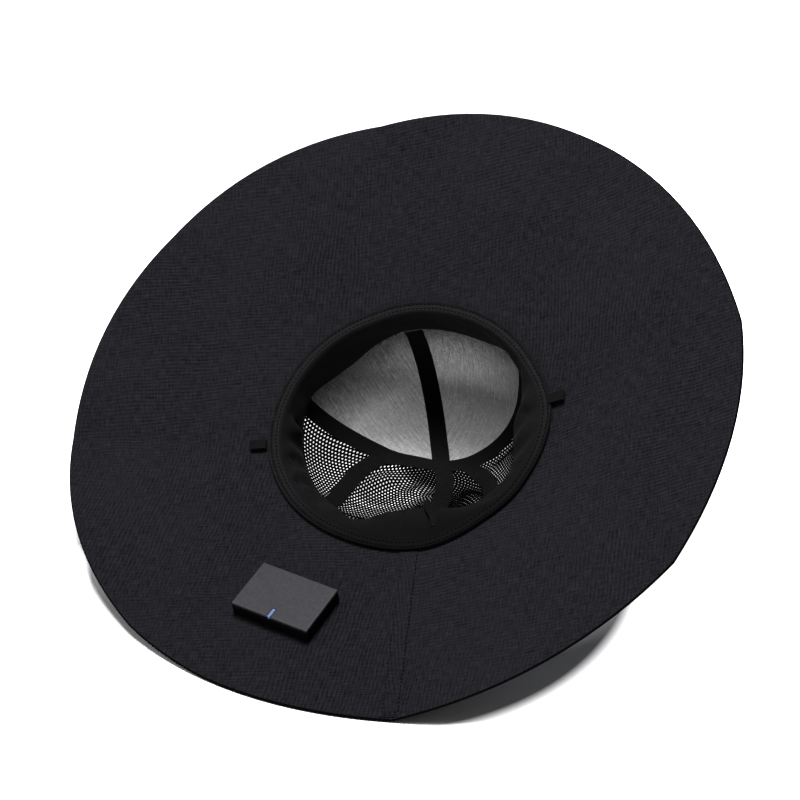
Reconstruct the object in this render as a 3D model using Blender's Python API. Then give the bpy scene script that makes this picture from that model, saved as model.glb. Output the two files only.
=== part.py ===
"""Wide-brimmed solar hat, lying upside down on its crown and its rear brim edge.

Row frame: +Z up, +X the wearer's left, +Y the front of the hat, origin on the floor
below the middle of the whole hat. The hat's own frame has its origin in the middle of
the head opening, with +Z out of the opening, and is tipped back and sideways so that the
crown's top and the rear edge of the brim both touch the floor.
"""

import math

import bmesh
import bpy
import numpy as np
from mathutils import Matrix, Vector
from mathutils.bvhtree import BVHTree

# Gaps
GAP = 0.0003                  # clearance between pieces that touch
BAND_GAP = 0.0007             # sweatband to crown, a little wider because both curve

# Head opening, sweatband and brim
FLANGE_R = 0.101              # outer edge of the sweatband's flange
FLANGE_OVAL = 0.0041          # the opening is an oval: this much longer each way
FLANGE_OVAL_ANGLE = -50.5     # direction of its long axis, degrees
FLANGE_SHIFT_X = 0.0008       # middle of the oval from the middle of the brim
FLANGE_SHIFT_Y = -0.0035
BAND_T = 0.0015
BAND_DEPTH = 0.034            # how far the sweatband reaches down the crown
BAND_SHARES = (0.06, 0.353, 0.706, 1.0)    # rows of the band, down its depth
FLANGE_W = 0.0074             # flange edge to the middle of the band
LIP_RISE = 0.0017             # how far the flange's outer edge stands up
BRIM_R = 0.2425
BRIM_T = 0.0024
BRIM_OVERLAP = 0.0046         # brim under the flange
BRIM_FLAT = 0.0008            # flat margin outside the flange before the brim rises
SECTORS = 8

# Each crease runs from the band to the brim's edge. Columns: turn from the even spacing
# in degrees, reach and rise of its outer end as shares of BRIM_R, and the outward bulge
# of the edge of the sector that follows it, a share too. Rows go round from the
# wearer's left over the front.
CREASES = (
    (0.9, 0.981, 0.144, 0.060),
    (0.5, 0.978, 0.156, 0.073),
    (0.6, 0.974, 0.168, 0.070),
    (-0.4, 0.974, 0.172, 0.063),
    (-3.0, 0.988, 0.111, 0.064),
    (-2.8, 0.965, 0.195, 0.077),
    (-1.6, 0.988, 0.112, 0.080),
    (2.4, 0.986, 0.122, 0.066),
)
BRIM_COLUMNS = 8              # facets across one sector
BRIM_ROWS = (0.0, 0.14, 0.30, 0.48, 0.66, 0.84, 1.0)

# Crown
CROWN_T = 0.0012
CROWN_GAP = 0.0007            # crown to the brim's inner edge, room for a wall leaning out
CROWN_DEPTH = 0.0932          # opening to the crown's top, as it lies pressed down
TOP_FORWARD = 0.0192          # the floor pushes the crown's top forward
BAND_LENGTH = 0.036           # straight part of the crown's cloth behind the sweatband
WALL_DEPTH = 0.090            # straight part below it, where the floor leaves room
SINK = 0.005                  # how far the free dome would reach below the floor
CROWN_TURN = 0.0025           # height over which the walls turn onto the floor
TIP_SHARE = 0.972             # the panels end this far along, under the front-rear tape

# How the crown hangs, every 30 degrees from the wearer's left over the front. Columns:
# how far the cloth leans inward behind the sweatband and below it, in degrees, and the
# power of its corner, square below 1 and slack above it.
HANG = (
    (37.0, 15.0, 0.80),
    (0.0, 15.0, 0.75),
    (-8.0, 11.0, 0.75),
    (-10.0, 7.0, 0.75),
    (0.0, 16.0, 0.75),
    (-3.0, 26.0, 0.75),
    (12.0, 20.0, 0.85),
    (26.0, 12.0, 1.00),
    (43.0, 8.0, 1.25),
    (64.0, 5.0, 1.45),
    (46.0, 8.0, 1.25),
    (37.0, 12.0, 1.00),
)

# Angles of the six seams at the band and near the top, where the rear ones are pulled
# sideways by the weight on the crown.
PANEL_SEAMS = (
    (33.0, 34.0),
    (93.0, 93.0),
    (150.0, 150.0),
    (208.0, 162.0),
    (284.0, 284.0),
    (304.0, 358.0),
)
FRONT_SEAM = 1
REAR_SEAM = 4
SEAM_BEND = 0.8               # share of the way to the top over which a seam bends
PANEL_COLUMNS = 10
BAND_ROWS = 3
PANEL_ROWS = 10

# Folds in the slack net between its tapes. Columns: angle and its half-width in degrees,
# share of the way from the band to the top and its half-width, height as a share of
# CROWN_DEPTH.
FOLDS = (
    (240.0, 15.0, 0.62, 0.14, 0.060),
    (310.0, 12.0, 0.50, 0.16, 0.060),
    (182.0, 12.0, 0.55, 0.16, 0.060),
    (6.0, 11.0, 0.45, 0.16, 0.045),
)

# Tapes and strap loops
TAPE_W = 0.013
TAPE_T = 0.001
TAPE_GAP = 0.0007             # tape to panel, which are both curved
TAPE_COLUMNS = 4
TAPE_START = 0.001            # end of the sweatband's cloth to the end of a tape
TAPE_END = 0.0065             # half of the flat stretch over the crown's top
TAPE_TIP = 0.001              # half-width that is left at a cut tape's tip
LOOP_START = 0.0013           # flange edge to the root of a loop
LOOP_W = 0.0075
LOOP_LENGTH = 0.0118
LOOP_HEIGHT = 0.0034
RIBBON_T = 0.0009
LOOP_ANGLES = {"loop_left": 356.5, "loop_right": 181.0}

# Rear seam strip
STRIP_LEFT = 0.0075           # strip edge from the rear crease, to the wearer's left
STRIP_RIGHT = 0.0055
STRIP_T = 0.0009
STRIP_GAP = 0.0005            # strip to brim, a little wider over the bend of the crease

# Solar laminates on the brim's top side
LAMINATE_T = 0.0008
LAMINATE_FIRST_COLUMN = 1
LAMINATE_FIRST_ROW = 1

# Charger box
BOX_LENGTH = 0.0575
BOX_WIDTH = 0.0395
BASE_HEIGHT = 0.0081
LID_HEIGHT = 0.0024
BOX_ROUND = 0.0009
BOX_INSET = 0.0765            # its middle, inward from the brim's edge
BOX_ANGLE = 242.9
BOX_TURN = -1.3
LIGHT_W = 0.0024
LIGHT_REACH = 0.0075
LIGHT_DEPTH = 0.0009

# How the hat lies
ROLL = -16.74                 # wearer's right side down, degrees
SPIN = 0.8
EDGE_PRESS = 0.0018           # how far the floor flattens the brim's rear edge

LINE_SAMPLES = 48


def clear_scene():
    for obj in list(bpy.data.objects):
        bpy.data.objects.remove(obj, do_unlink=True)


def make_material(name, color, roughness, metallic=0.0):
    material = bpy.data.materials.new(name)
    material.use_nodes = True
    shader = material.node_tree.nodes["Principled BSDF"]
    shader.inputs["Base Color"].default_value = (*color, 1.0)
    shader.inputs["Roughness"].default_value = roughness
    shader.inputs["Metallic"].default_value = metallic
    return material


def polar(radius, degrees, height=0.0):
    angle = math.radians(degrees)
    return Vector((radius * math.cos(angle), radius * math.sin(angle), height))


def flange_radius(degrees):
    """Outer radius of the sweatband's flange, measured from the middle of the oval."""
    turn = math.radians(2.0 * (degrees - FLANGE_OVAL_ANGLE))
    return FLANGE_R + FLANGE_OVAL * math.cos(turn)


def ring_point(degrees, inset, height=0.0):
    """A point this far inside the flange's outer edge."""
    middle = Vector((FLANGE_SHIFT_X, FLANGE_SHIFT_Y, 0.0))
    return middle + polar(flange_radius(degrees) - inset, degrees, height)


def crease_end(index):
    turn, reach, rise, bulge = CREASES[index % SECTORS]
    degrees = index * 360.0 / SECTORS + turn
    return polar(reach * BRIM_R, degrees, rise * BRIM_R)


def sector_out(index):
    """Direction in which a sector's edge bulges: outward along its middle."""
    first = crease_end(index) - ring_point(index * 360.0 / SECTORS, 0.0)
    last = crease_end(index + 1) - ring_point((index + 1) * 360.0 / SECTORS, 0.0)
    return (first + last).normalized()


def edge_point(place):
    """Point of the brim's outer edge. place counts creases, fractions lie between."""
    index = int(math.floor(place)) % SECTORS
    share = place - math.floor(place)
    bulge = CREASES[index][3] * BRIM_R * 4.0 * share * (1.0 - share)
    chord = crease_end(index).lerp(crease_end(index + 1), share)
    return chord + sector_out(index) * bulge


def brim_local(place, row):
    """Middle surface of the brim in the hat's frame, row 0 at the flange, 1 at the edge."""
    inner = ring_point(place * 360.0 / SECTORS, -BRIM_FLAT)
    return inner.lerp(edge_point(place), row)


def pose(pitch):
    tilt = Matrix.Rotation(math.radians(pitch), 3, "X")
    roll = Matrix.Rotation(math.radians(ROLL), 3, "Y")
    return tilt @ roll @ Matrix.Rotation(math.radians(SPIN), 3, "Z")


def ring_height(turned):
    """Height of the head opening's middle when the crown's top lies on the floor."""
    top = turned @ Vector((0.0, TOP_FORWARD, -CROWN_DEPTH))
    return CROWN_T / 2.0 + SINK - top.z


def edge_clearance(pitch):
    turned = pose(pitch)
    places = [step / BRIM_COLUMNS for step in range(SECTORS * BRIM_COLUMNS)]
    lowest = min((turned @ edge_point(place)).z for place in places)
    return lowest + ring_height(turned) - BRIM_T / 2.0 + EDGE_PRESS


def find_pitch():
    """Angle at which the hat, tipping back on its crown, lands on its brim's edge."""
    low, high = 5.0, 45.0
    for _ in range(40):
        middle = (low + high) / 2.0
        if edge_clearance(middle) > 0.0:
            low = middle
        else:
            high = middle
    return low


TURN = pose(find_pitch())
CENTRE = Vector((0.0, 0.0, ring_height(TURN)))


def to_floor(point):
    """From the hat's frame to the floor's."""
    return TURN @ point + CENTRE


def keep_above(point, height, soft=0.0001):
    """Cloth is flattened where it rests on the floor, with a rounded turn onto it."""
    over = point.z - height
    if over < soft:
        over = max(over + soft, 0.0) ** 2 / (4.0 * soft)
    return Vector((point.x, point.y, height + over))


def brim_point(place, row):
    return keep_above(to_floor(brim_local(place, row)), BRIM_T / 2.0)


def brim_normal(place, row):
    """Direction out of the brim's underside, which faces up, within one sector."""
    low = math.floor(place + 1e-6)
    share = min(max(place - low, 0.02), 0.98)
    across = to_floor(brim_local(low + share + 0.01, row)) - to_floor(brim_local(low + share - 0.01, row))
    along = to_floor(brim_local(place, 1.0)) - to_floor(brim_local(place, 0.0))
    normal = along.cross(across).normalized()
    return normal if normal.z > 0.0 else -normal


def hang(degrees):
    """Rows of HANG, blended smoothly round the opening."""
    place = degrees % 360.0 * len(HANG) / 360.0
    share = place - math.floor(place)
    before, here, after, beyond = (HANG[(int(place) + step) % len(HANG)] for step in (-1, 0, 1, 2))
    blended = []
    for a, b, c, d in zip(before, here, after, beyond):
        bend = 2.0 * a - 5.0 * b + 4.0 * c - d
        curl = 3.0 * (b - c) + d - a
        blended.append(b + 0.5 * share * (c - a + share * (bend + share * curl)))
    return blended


def wall_direction(degrees, leaning):
    lean = math.radians(leaning)
    inward = -polar(1.0, degrees) * math.sin(lean)
    return TURN @ (inward + Vector((0.0, 0.0, -math.cos(lean))))


def soft_least(first, second, power=8.0):
    return (first ** -power + second ** -power) ** (-1.0 / power)


TOP = to_floor(Vector((0.0, TOP_FORWARD, -CROWN_DEPTH)))
TOP.z = CROWN_T / 2.0 - SINK


def smooth(share):
    share = min(max(share, 0.0), 1.0)
    return share * share * (3.0 - 2.0 * share)


def seam_angle(index, share):
    """Angle of a seam this share of the way from the band to the top."""
    low, high = PANEL_SEAMS[index % len(PANEL_SEAMS)]
    return low + (high - low) * smooth(share / SEAM_BEND)


def panel_share(degrees, share):
    """How far across its panel an angle lies, 0 and 1 at the seams."""
    for index in range(len(PANEL_SEAMS)):
        first = seam_angle(index, share)
        span = (seam_angle(index + 1, share) - first) % 360.0
        away = (degrees - first) % 360.0
        if away <= span:
            return away / span
    return 0.0


def fold_height(degrees, share):
    if share <= 0.0:
        return 0.0
    height = 0.0
    between = math.sin(math.pi * panel_share(degrees, share)) ** 2
    for angle, angle_half, place, place_half, rise in FOLDS:
        away = ((degrees - angle + 180.0) % 360.0 - 180.0) / angle_half
        along = (share - place) / place_half
        height += rise * CROWN_DEPTH * math.exp(-away * away - along * along)
    return height * between * smooth(share / 0.2)


LINES = {}


def crown_line(degrees):
    """One line of the crown's middle surface, from the opening to its top.

    The cloth runs straight behind the sweatband. Below it a wall goes down, a run goes in
    along the floor to the top, and a squarish or slack quarter curve joins them. Returns
    points and the distance of each.
    """
    key = round(degrees % 360.0, 4)
    if key in LINES:
        return LINES[key]
    band_lean, wall_lean, power = hang(key)
    start = to_floor(ring_point(key, crown_inset()))
    low = start + wall_direction(key, band_lean) * BAND_LENGTH
    wall = wall_direction(key, wall_lean)
    to_ground = (low.z + SINK) / -wall.z
    corner = low + wall * soft_least(WALL_DEPTH, to_ground)
    points = [start]
    for step in range(LINE_SAMPLES + 1):
        angle = math.pi / 2.0 * step / LINE_SAMPLES
        across = (corner - TOP) * max(math.cos(angle), 0.0) ** power
        down = (corner - low) * math.sin(angle) ** power
        points.append(low + TOP - corner + across + down)
    points = [keep_above(point, CROWN_T / 2.0, CROWN_TURN) for point in points]
    steps = [(after - before).length for before, after in zip(points, points[1:])]
    distance = np.concatenate([[0.0], np.cumsum(steps)])
    LINES[key] = (np.array(points), distance)
    return LINES[key]


def crown_inset():
    """Flange edge to the middle of the crown's wall."""
    return BRIM_OVERLAP + CROWN_GAP + CROWN_T / 2.0


def crown_length(degrees):
    return crown_line(degrees)[1][-1]


def crown_share(degrees, along):
    """Share of the way from the sweatband's end to the top, below zero behind the band."""
    return (along - BAND_LENGTH) / (crown_length(degrees) - BAND_LENGTH)


def crown_along(degrees, share):
    """Distance from the opening at this share of the way from the band to the top."""
    return BAND_LENGTH + share * (crown_length(degrees) - BAND_LENGTH)


def crown_point(degrees, along):
    """Point of the crown's middle surface this many metres from the opening."""
    points, distance = crown_line(degrees)
    place = [np.interp(along, distance, points[:, axis]) for axis in range(3)]
    lift = fold_height(degrees, crown_share(degrees, along))
    return Vector(place) + Vector((0.0, 0.0, lift))


def crown_normal(degrees, along):
    """Direction into the crown's hollow."""
    step = 0.0015
    spread = 1.2
    down = crown_point(degrees, along + step) - crown_point(degrees, max(along - step, 0.0))
    side = crown_point(degrees + spread, along) - crown_point(degrees - spread, along)
    return side.cross(down).normalized()


def mesh_object(name, points, faces, material):
    mesh = bpy.data.meshes.new(name)
    mesh.from_pydata([tuple(point) for point in points], [], faces)
    mesh.update()
    mesh.materials.append(material)
    obj = bpy.data.objects.new(name, mesh)
    bpy.context.scene.collection.objects.link(obj)
    return obj


def apply_modifiers(obj):
    """Replace an object's mesh by the mesh that its modifiers make."""
    graph = bpy.context.evaluated_depsgraph_get()
    mesh = bpy.data.meshes.new_from_object(obj.evaluated_get(graph))
    obj.modifiers.clear()
    obj.data = mesh


def shade(obj):
    obj.data.shade_smooth()
    obj.data.set_sharp_from_angle(angle=math.radians(35.0))


def rest_on_floor(obj):
    """Bring the lowest cloth exactly onto the floor, as a flat patch."""
    snap = 0.00025
    for vertex in obj.data.vertices:
        if vertex.co.z < snap:
            vertex.co.z = 0.0


def cloth(name, rows, thickness, material, closed=False):
    """A cloth piece from rows of points on its middle surface."""
    columns = len(rows[0])
    points = [point for row in rows for point in row]
    faces = []
    for row in range(len(rows) - 1):
        for column in range(columns if closed else columns - 1):
            after = (column + 1) % columns
            here = row * columns
            faces.append((here + column, here + after, here + columns + after, here + columns + column))
    obj = mesh_object(name, points, faces, material)
    wall = obj.modifiers.new("thickness", "SOLIDIFY")
    wall.thickness = thickness
    wall.offset = 0.0
    apply_modifiers(obj)
    make_outward(obj)
    rest_on_floor(obj)
    shade(obj)
    return obj


def make_outward(obj):
    shape = bmesh.new()
    shape.from_mesh(obj.data)
    bmesh.ops.recalc_face_normals(shape, faces=shape.faces)
    if shape.calc_volume(signed=True) < 0.0:
        bmesh.ops.reverse_faces(shape, faces=shape.faces)
    shape.to_mesh(obj.data)
    shape.free()


def make_brim(material):
    places = [step / BRIM_COLUMNS for step in range(SECTORS * BRIM_COLUMNS)]
    flat = [to_floor(ring_point(place * 360.0 / SECTORS, BRIM_OVERLAP)) for place in places]
    rows = [flat]
    for row in BRIM_ROWS:
        rows.append([brim_point(place, row) for place in places])
    return cloth("brim", rows, BRIM_T, material, closed=True)


def make_laminates(material):
    """One thin laminate below each sector, along the brim's own facets."""
    drop = BRIM_T / 2.0 + GAP + LAMINATE_T / 2.0
    shares = BRIM_ROWS[LAMINATE_FIRST_ROW:-1]
    columns = range(LAMINATE_FIRST_COLUMN, BRIM_COLUMNS - LAMINATE_FIRST_COLUMN + 1, 2)
    for index in range(SECTORS):
        rows = []
        for row in shares:
            line = []
            for column in columns:
                place = index + column / BRIM_COLUMNS
                line.append(brim_point(place, row) - brim_normal(place, row) * drop)
            rows.append(line)
        cloth("solar_panel_%d" % (index + 1), rows, LAMINATE_T, material)


def make_seam_strip(material):
    """The sewn strip on the rear crease."""
    crease = 3 * SECTORS // 4
    lift = BRIM_T / 2.0 + STRIP_GAP + STRIP_T / 2.0
    rows = []
    for row in BRIM_ROWS:
        span = (brim_point(crease, row) - brim_point(crease + 1, row)).length
        places = (crease - STRIP_RIGHT / span, crease, crease + STRIP_LEFT / span)
        normal = brim_normal(places[0], row) + brim_normal(places[2], row)
        rows.append([brim_point(place, row) + normal.normalized() * lift for place in places])
    return cloth("rear_seam_strip", rows, STRIP_T, material)


def band_angles():
    """Angles round the opening at which the sweatband and the crown share their facets."""
    angles = []
    for index in range(len(PANEL_SEAMS)):
        first = seam_angle(index, 0.0)
        span = (seam_angle(index + 1, 0.0) - first) % 360.0
        angles += [first + span * column / PANEL_COLUMNS for column in range(PANEL_COLUMNS)]
    return angles


def make_sweatband(material):
    """Flange with a raised lip, a roll over the brim's edge, and a band down the crown."""
    top = BRIM_T / 2.0 + GAP + BAND_T / 2.0
    profile = (
        (0.0, top + LIP_RISE),
        (0.19 * FLANGE_W, top + 0.35 * LIP_RISE),
        (0.45 * FLANGE_W, top + 0.05 * LIP_RISE),
        (0.72 * FLANGE_W, top + 0.32 * LIP_RISE),
        (0.95 * FLANGE_W, top - 0.08 * LIP_RISE),
    )
    offset = (CROWN_T + BAND_T) / 2.0 + BAND_GAP
    depths = [BAND_DEPTH * share for share in BAND_SHARES]
    angles = band_angles()
    rows = []
    for inset, height in profile:
        rows.append([to_floor(ring_point(angle, inset, height)) for angle in angles])
    for depth in depths:
        row = []
        for angle in angles:
            row.append(crown_point(angle, depth) + crown_normal(angle, depth) * offset)
        rows.append(row)
    return cloth("sweatband", rows, BAND_T, material, closed=True)


def panel_rows():
    """Rows of a panel as (distance behind the band, share of the way below it)."""
    rows = [(BAND_LENGTH * row / BAND_ROWS, None) for row in range(BAND_ROWS)]
    return rows + [(None, TIP_SHARE * row / PANEL_ROWS) for row in range(PANEL_ROWS + 1)]


def panel_row(index, behind, share):
    """Points and normals of the crown across one panel."""
    first = seam_angle(index, share or 0.0)
    span = (seam_angle(index + 1, share or 0.0) - first) % 360.0
    row = []
    for column in range(PANEL_COLUMNS + 1):
        angle = first + span * column / PANEL_COLUMNS
        along = crown_along(angle, share) if behind is None else behind
        row.append((crown_point(angle, along), crown_normal(angle, along)))
    return row


def make_panel(name, index, material):
    """One crown panel between two seams, each edge half a gap from its seam."""
    rows = []
    for behind, share in panel_rows():
        row = [point for point, _ in panel_row(index, behind, share)]
        for side, inner in ((0, 1), (-1, -2)):
            row[side] = row[side] + (row[inner] - row[side]).normalized() * GAP / 2.0
        rows.append(row)
    return cloth(name, rows, CROWN_T, material)


def make_panels(sheer, net):
    panels = (
        ("crown_front_left", sheer),
        ("crown_front_right", sheer),
        ("crown_side_right", net),
        ("crown_rear_right", net),
        ("crown_rear_left", net),
        ("crown_side_left", net),
    )
    for index, (name, material) in enumerate(panels):
        make_panel(name, index, material)


def crown_tree():
    """Search tree over the crown's inner surface, closed over its seams and its top."""
    points = []
    for behind, share in panel_rows():
        for index in range(len(PANEL_SEAMS)):
            row = panel_row(index, behind, share)[:-1]
            points += [point + normal * CROWN_T / 2.0 for point, normal in row]
    around = len(PANEL_SEAMS) * PANEL_COLUMNS
    faces = []
    for row in range(len(panel_rows()) - 1):
        for column in range(around):
            after = (column + 1) % around
            here = row * around
            faces.append((here + column, here + after, here + around + after, here + around + column))
    points.append(Vector((TOP.x, TOP.y, CROWN_T)))
    last = len(points) - 1 - around
    faces += [(last + column, last + (column + 1) % around, len(points) - 1) for column in range(around)]
    return BVHTree.FromPolygons(points, faces)


def surface_tree(objects):
    """One search tree over the faces of several pieces."""
    points = []
    faces = []
    for obj in objects:
        start = len(points)
        points.extend(vertex.co.copy() for vertex in obj.data.vertices)
        faces.extend([start + index for index in face.vertices] for face in obj.data.polygons)
    return BVHTree.FromPolygons(points, faces)


def seat(tree, point, lift):
    """The nearest point of the surface, raised from its face."""
    place, normal, _, _ = tree.find_nearest(point)
    return place + normal * lift


def drop_onto(tree, point):
    """The point of a surface straight below a point of the hat's own frame."""
    start = to_floor(point + Vector((0.0, 0.0, BRIM_R)))
    return tree.ray_cast(start, TURN @ Vector((0.0, 0.0, -1.0)))[0]


def arm_points(index, reaches):
    """Points above a seam at these distances from the crown's top, the far one first."""
    above = 2.0 * CROWN_T
    points = []
    for reach in reaches:
        share = reach_share(index, reach)
        angle = seam_angle(index, share)
        along = crown_along(angle, share)
        points.append(crown_point(angle, along) + crown_normal(angle, along) * above)
    return points


def seam_length(index):
    """Length of a seam from the sweatband's end to the top."""
    return crown_length(PANEL_SEAMS[index][1]) - BAND_LENGTH


def reach_share(index, reach):
    return 1.0 - reach / seam_length(index)


def arm_reaches(index, ends):
    """Distances from the top for a tape's rows: the band, the panels' rows, its tip."""
    length = seam_length(index)
    start = length - TAPE_START
    rows = [length * (1.0 - TIP_SHARE * row / PANEL_ROWS) for row in range(PANEL_ROWS + 1)]
    room = 0.3 * TAPE_W
    return [start] + [row for row in rows if ends[0] + room < row < start - room] + list(ends)


def tape_rows(line, tree, widths):
    """Rows across a tape, each with its own half-widths, lying on the panels."""
    lift = TAPE_GAP + TAPE_T / 2.0
    rows = []
    for index, point in enumerate(line):
        before = line[max(index - 1, 0)]
        after = line[min(index + 1, len(line) - 1)]
        ahead = (after - before).normalized()
        up = tree.find_nearest(point)[1]
        side = ahead.cross(up).normalized()
        left, right = widths[index]
        row = []
        for column in range(TAPE_COLUMNS + 1):
            offset = -left + (left + right) * column / TAPE_COLUMNS
            row.append(seat(tree, point + side * offset, lift))
        rows.append(row)
    return rows


def make_through_tape(tree, material):
    """The tape that runs from the front over the crown's top to the rear."""
    front = arm_points(FRONT_SEAM, arm_reaches(FRONT_SEAM, (TAPE_END,)))
    rear = arm_points(REAR_SEAM, arm_reaches(REAR_SEAM, (TAPE_END,)))
    line = front + [TOP + Vector((0.0, 0.0, SINK + 2.0 * CROWN_T))] + rear[::-1]
    widths = [(TAPE_W / 2.0, TAPE_W / 2.0)] * len(line)
    cloth("tape_front_rear", tape_rows(line, tree, widths), TAPE_T, material)


def arm_direction(index):
    """Direction on the floor from the crown's top out along a seam."""
    angle = PANEL_SEAMS[index][1]
    point = crown_point(angle, crown_length(angle) - TAPE_W)
    return Vector((point.x - TOP.x, point.y - TOP.y, 0.0)).normalized()


def make_arm_tape(name, index, neighbours, tree, material):
    """A tape from the band to the top, cut to a tip between its two neighbours.

    Each neighbour is a seam and whether it has the through tape. Beside the through
    tape the cut runs along its edge, beside another tape along the line between them.
    """
    half = TAPE_W / 2.0
    limits = []
    for neighbour, through in neighbours:
        apart = arm_direction(index).angle(arm_direction(neighbour))
        if through:
            limits.append((apart, half + 2.0 * TAPE_GAP))
        else:
            limits.append((apart / 2.0, TAPE_GAP))
    tip = max((clear + TAPE_TIP * math.cos(apart)) / math.sin(apart) for apart, clear in limits)
    full = [(clear + half * math.cos(apart)) / math.sin(apart) for apart, clear in limits]
    ends = [reach for reach in sorted(full, reverse=True) if reach > tip + TAPE_TIP] + [tip]
    reaches = arm_reaches(index, ends)
    widths = []
    for reach in reaches:
        width = [(reach * math.sin(apart) - clear) / math.cos(apart) for apart, clear in limits]
        widths.append([min(max(value, TAPE_TIP), half) for value in width])
    cloth(name, tape_rows(arm_points(index, reaches), tree, widths), TAPE_T, material)


def make_tapes(material):
    """One tape over each seam. Seams count round from the wearer's left front."""
    tree = crown_tree()
    make_through_tape(tree, material)
    arms = {
        "tape_left_front": (0, ((5, False), (FRONT_SEAM, True))),
        "tape_right_front": (2, ((FRONT_SEAM, True), (3, False))),
        "tape_right_rear": (3, ((2, False), (REAR_SEAM, True))),
        "tape_left_rear": (5, ((REAR_SEAM, True), (0, False))),
    }
    for name, (index, neighbours) in arms.items():
        make_arm_tape(name, index, neighbours, tree, material)


def make_loops(brim, material):
    """Flat ribbon loops for a strap, standing out from the flange along the brim."""
    tree = surface_tree([brim])
    for name, angle in LOOP_ANGLES.items():
        foot = drop_onto(tree, ring_point(angle, -LOOP_START))
        toe = drop_onto(tree, ring_point(angle, -LOOP_START - LOOP_LENGTH))
        ahead = (toe - foot).normalized()
        side = ahead.cross(TURN @ Vector((0.0, 0.0, 1.0))).normalized()
        up = side.cross(ahead).normalized()
        frame = Matrix((ahead, side, up)).transposed()
        lift = LOOP_HEIGHT / 2.0 + 2.0 * GAP
        outline = stadium(LOOP_LENGTH, LOOP_HEIGHT)
        hole = stadium(LOOP_LENGTH - 2.0 * RIBBON_T, LOOP_HEIGHT - 2.0 * RIBBON_T)
        points = []
        for half in (-0.5, 0.5):
            for ring in (outline, hole):
                for along, height in ring:
                    place = Vector((along + LOOP_LENGTH / 2.0, half * LOOP_W, height + lift))
                    points.append(foot + frame @ place)
        obj = mesh_object(name, points, tube_faces(len(outline)), material)
        make_outward(obj)
        shade(obj)


def stadium(length, height, steps=4):
    """Outline with two straight sides and two round ends, in order round."""
    radius = height / 2.0
    half = length / 2.0 - radius
    outline = []
    for centre, begin in ((half, -90.0), (-half, 90.0)):
        for step in range(steps + 1):
            angle = math.radians(begin + 180.0 * step / steps)
            outline.append((centre + radius * math.cos(angle), radius * math.sin(angle)))
    return outline


def tube_faces(count):
    """Faces of a ribbon loop: outer and inner walls and the two flat edges."""
    faces = []
    for index in range(count):
        after = (index + 1) % count
        outer_a, outer_b = index, after
        inner_a, inner_b = count + index, count + after
        far = 2 * count
        faces.append((outer_a, outer_b, far + outer_b, far + outer_a))
        faces.append((inner_b, inner_a, far + inner_a, far + inner_b))
        faces.append((outer_b, outer_a, inner_a, inner_b))
        faces.append((far + outer_a, far + outer_b, far + inner_b, far + inner_a))
    return faces


def box_frame(brim_tree):
    """Place of the charger box: its foot on the brim and its three directions."""
    corners = []
    for along, across in ((-0.5, -0.5), (0.5, -0.5), (0.5, 0.5), (-0.5, 0.5)):
        turn = math.radians(BOX_ANGLE - 90.0 + BOX_TURN)
        long_way = Vector((math.cos(turn), math.sin(turn), 0.0))
        short_way = Vector((-math.sin(turn), math.cos(turn), 0.0))
        place = polar(BRIM_R - BOX_INSET, BOX_ANGLE) + long_way * along * BOX_LENGTH
        place = place + short_way * across * BOX_WIDTH
        corners.append(drop_onto(brim_tree, place))
    foot = sum(corners, Vector()) / 4.0
    ahead = (corners[1] + corners[2] - corners[0] - corners[3]).normalized()
    out = corners[2] + corners[3] - corners[0] - corners[1]
    up = ahead.cross(out).normalized()
    out = up.cross(ahead).normalized()
    return foot, ahead, out, up


def box_point(frame, along, out, height):
    foot, ahead_way, out_way, up_way = frame
    return foot + ahead_way * along + out_way * out + up_way * height


def make_block(name, frame, size, middle, material):
    """A plain block in the charger's frame, from its size and its middle."""
    obj = mesh_object(name, block_corners(frame, size, middle), BLOCK_FACES, material)
    make_outward(obj)
    return obj


BLOCK_FACES = ((0, 1, 3, 2), (4, 6, 7, 5), (0, 4, 5, 1), (2, 3, 7, 6), (0, 2, 6, 4), (1, 5, 7, 3))


def block_corners(frame, size, middle):
    corners = []
    for along in (-0.5, 0.5):
        for out in (-0.5, 0.5):
            for high in (-0.5, 0.5):
                corners.append(box_point(frame, middle[0] + along * size[0],
                                         middle[1] + out * size[1], middle[2] + high * size[2]))
    return corners


def bevel(obj, width, segments=2):
    edge = obj.modifiers.new("edges", "BEVEL")
    edge.width = width
    edge.segments = segments
    edge.limit_method = "ANGLE"
    edge.angle_limit = math.radians(50.0)
    apply_modifiers(obj)
    shade(obj)


def make_base(frame, brim_tree, material):
    """The lower shell, whose bottom follows the brim that it is fixed to."""
    columns, lines = 4, 3
    points = []
    for level in (0, 1):
        for column in range(columns + 1):
            for line in range(lines + 1):
                along = (column / columns - 0.5) * BOX_LENGTH
                out = (line / lines - 0.5) * BOX_WIDTH
                if level:
                    points.append(box_point(frame, along, out, GAP + BASE_HEIGHT))
                else:
                    start = box_point(frame, along, out, BASE_HEIGHT)
                    hit = brim_tree.ray_cast(start, -frame[3])[0]
                    points.append(hit + frame[3] * GAP)
    faces = []
    high = (columns + 1) * (lines + 1)
    for column in range(columns):
        for line in range(lines):
            a = column * (lines + 1) + line
            b = a + lines + 1
            faces.append((a, a + 1, b + 1, b))
            faces.append((high + a, high + b, high + b + 1, high + a + 1))
    rim = [column * (lines + 1) for column in range(columns + 1)]
    rim += [columns * (lines + 1) + line for line in range(1, lines + 1)]
    rim += [column * (lines + 1) + lines for column in range(columns - 1, -1, -1)]
    rim += [line for line in range(lines - 1, 0, -1)]
    for index, here in enumerate(rim):
        after = rim[(index + 1) % len(rim)]
        faces.append((here, after, high + after, high + here))
    obj = mesh_object("charger_base", points, faces, material)
    make_outward(obj)
    bevel(obj, BOX_ROUND)
    return obj


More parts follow.
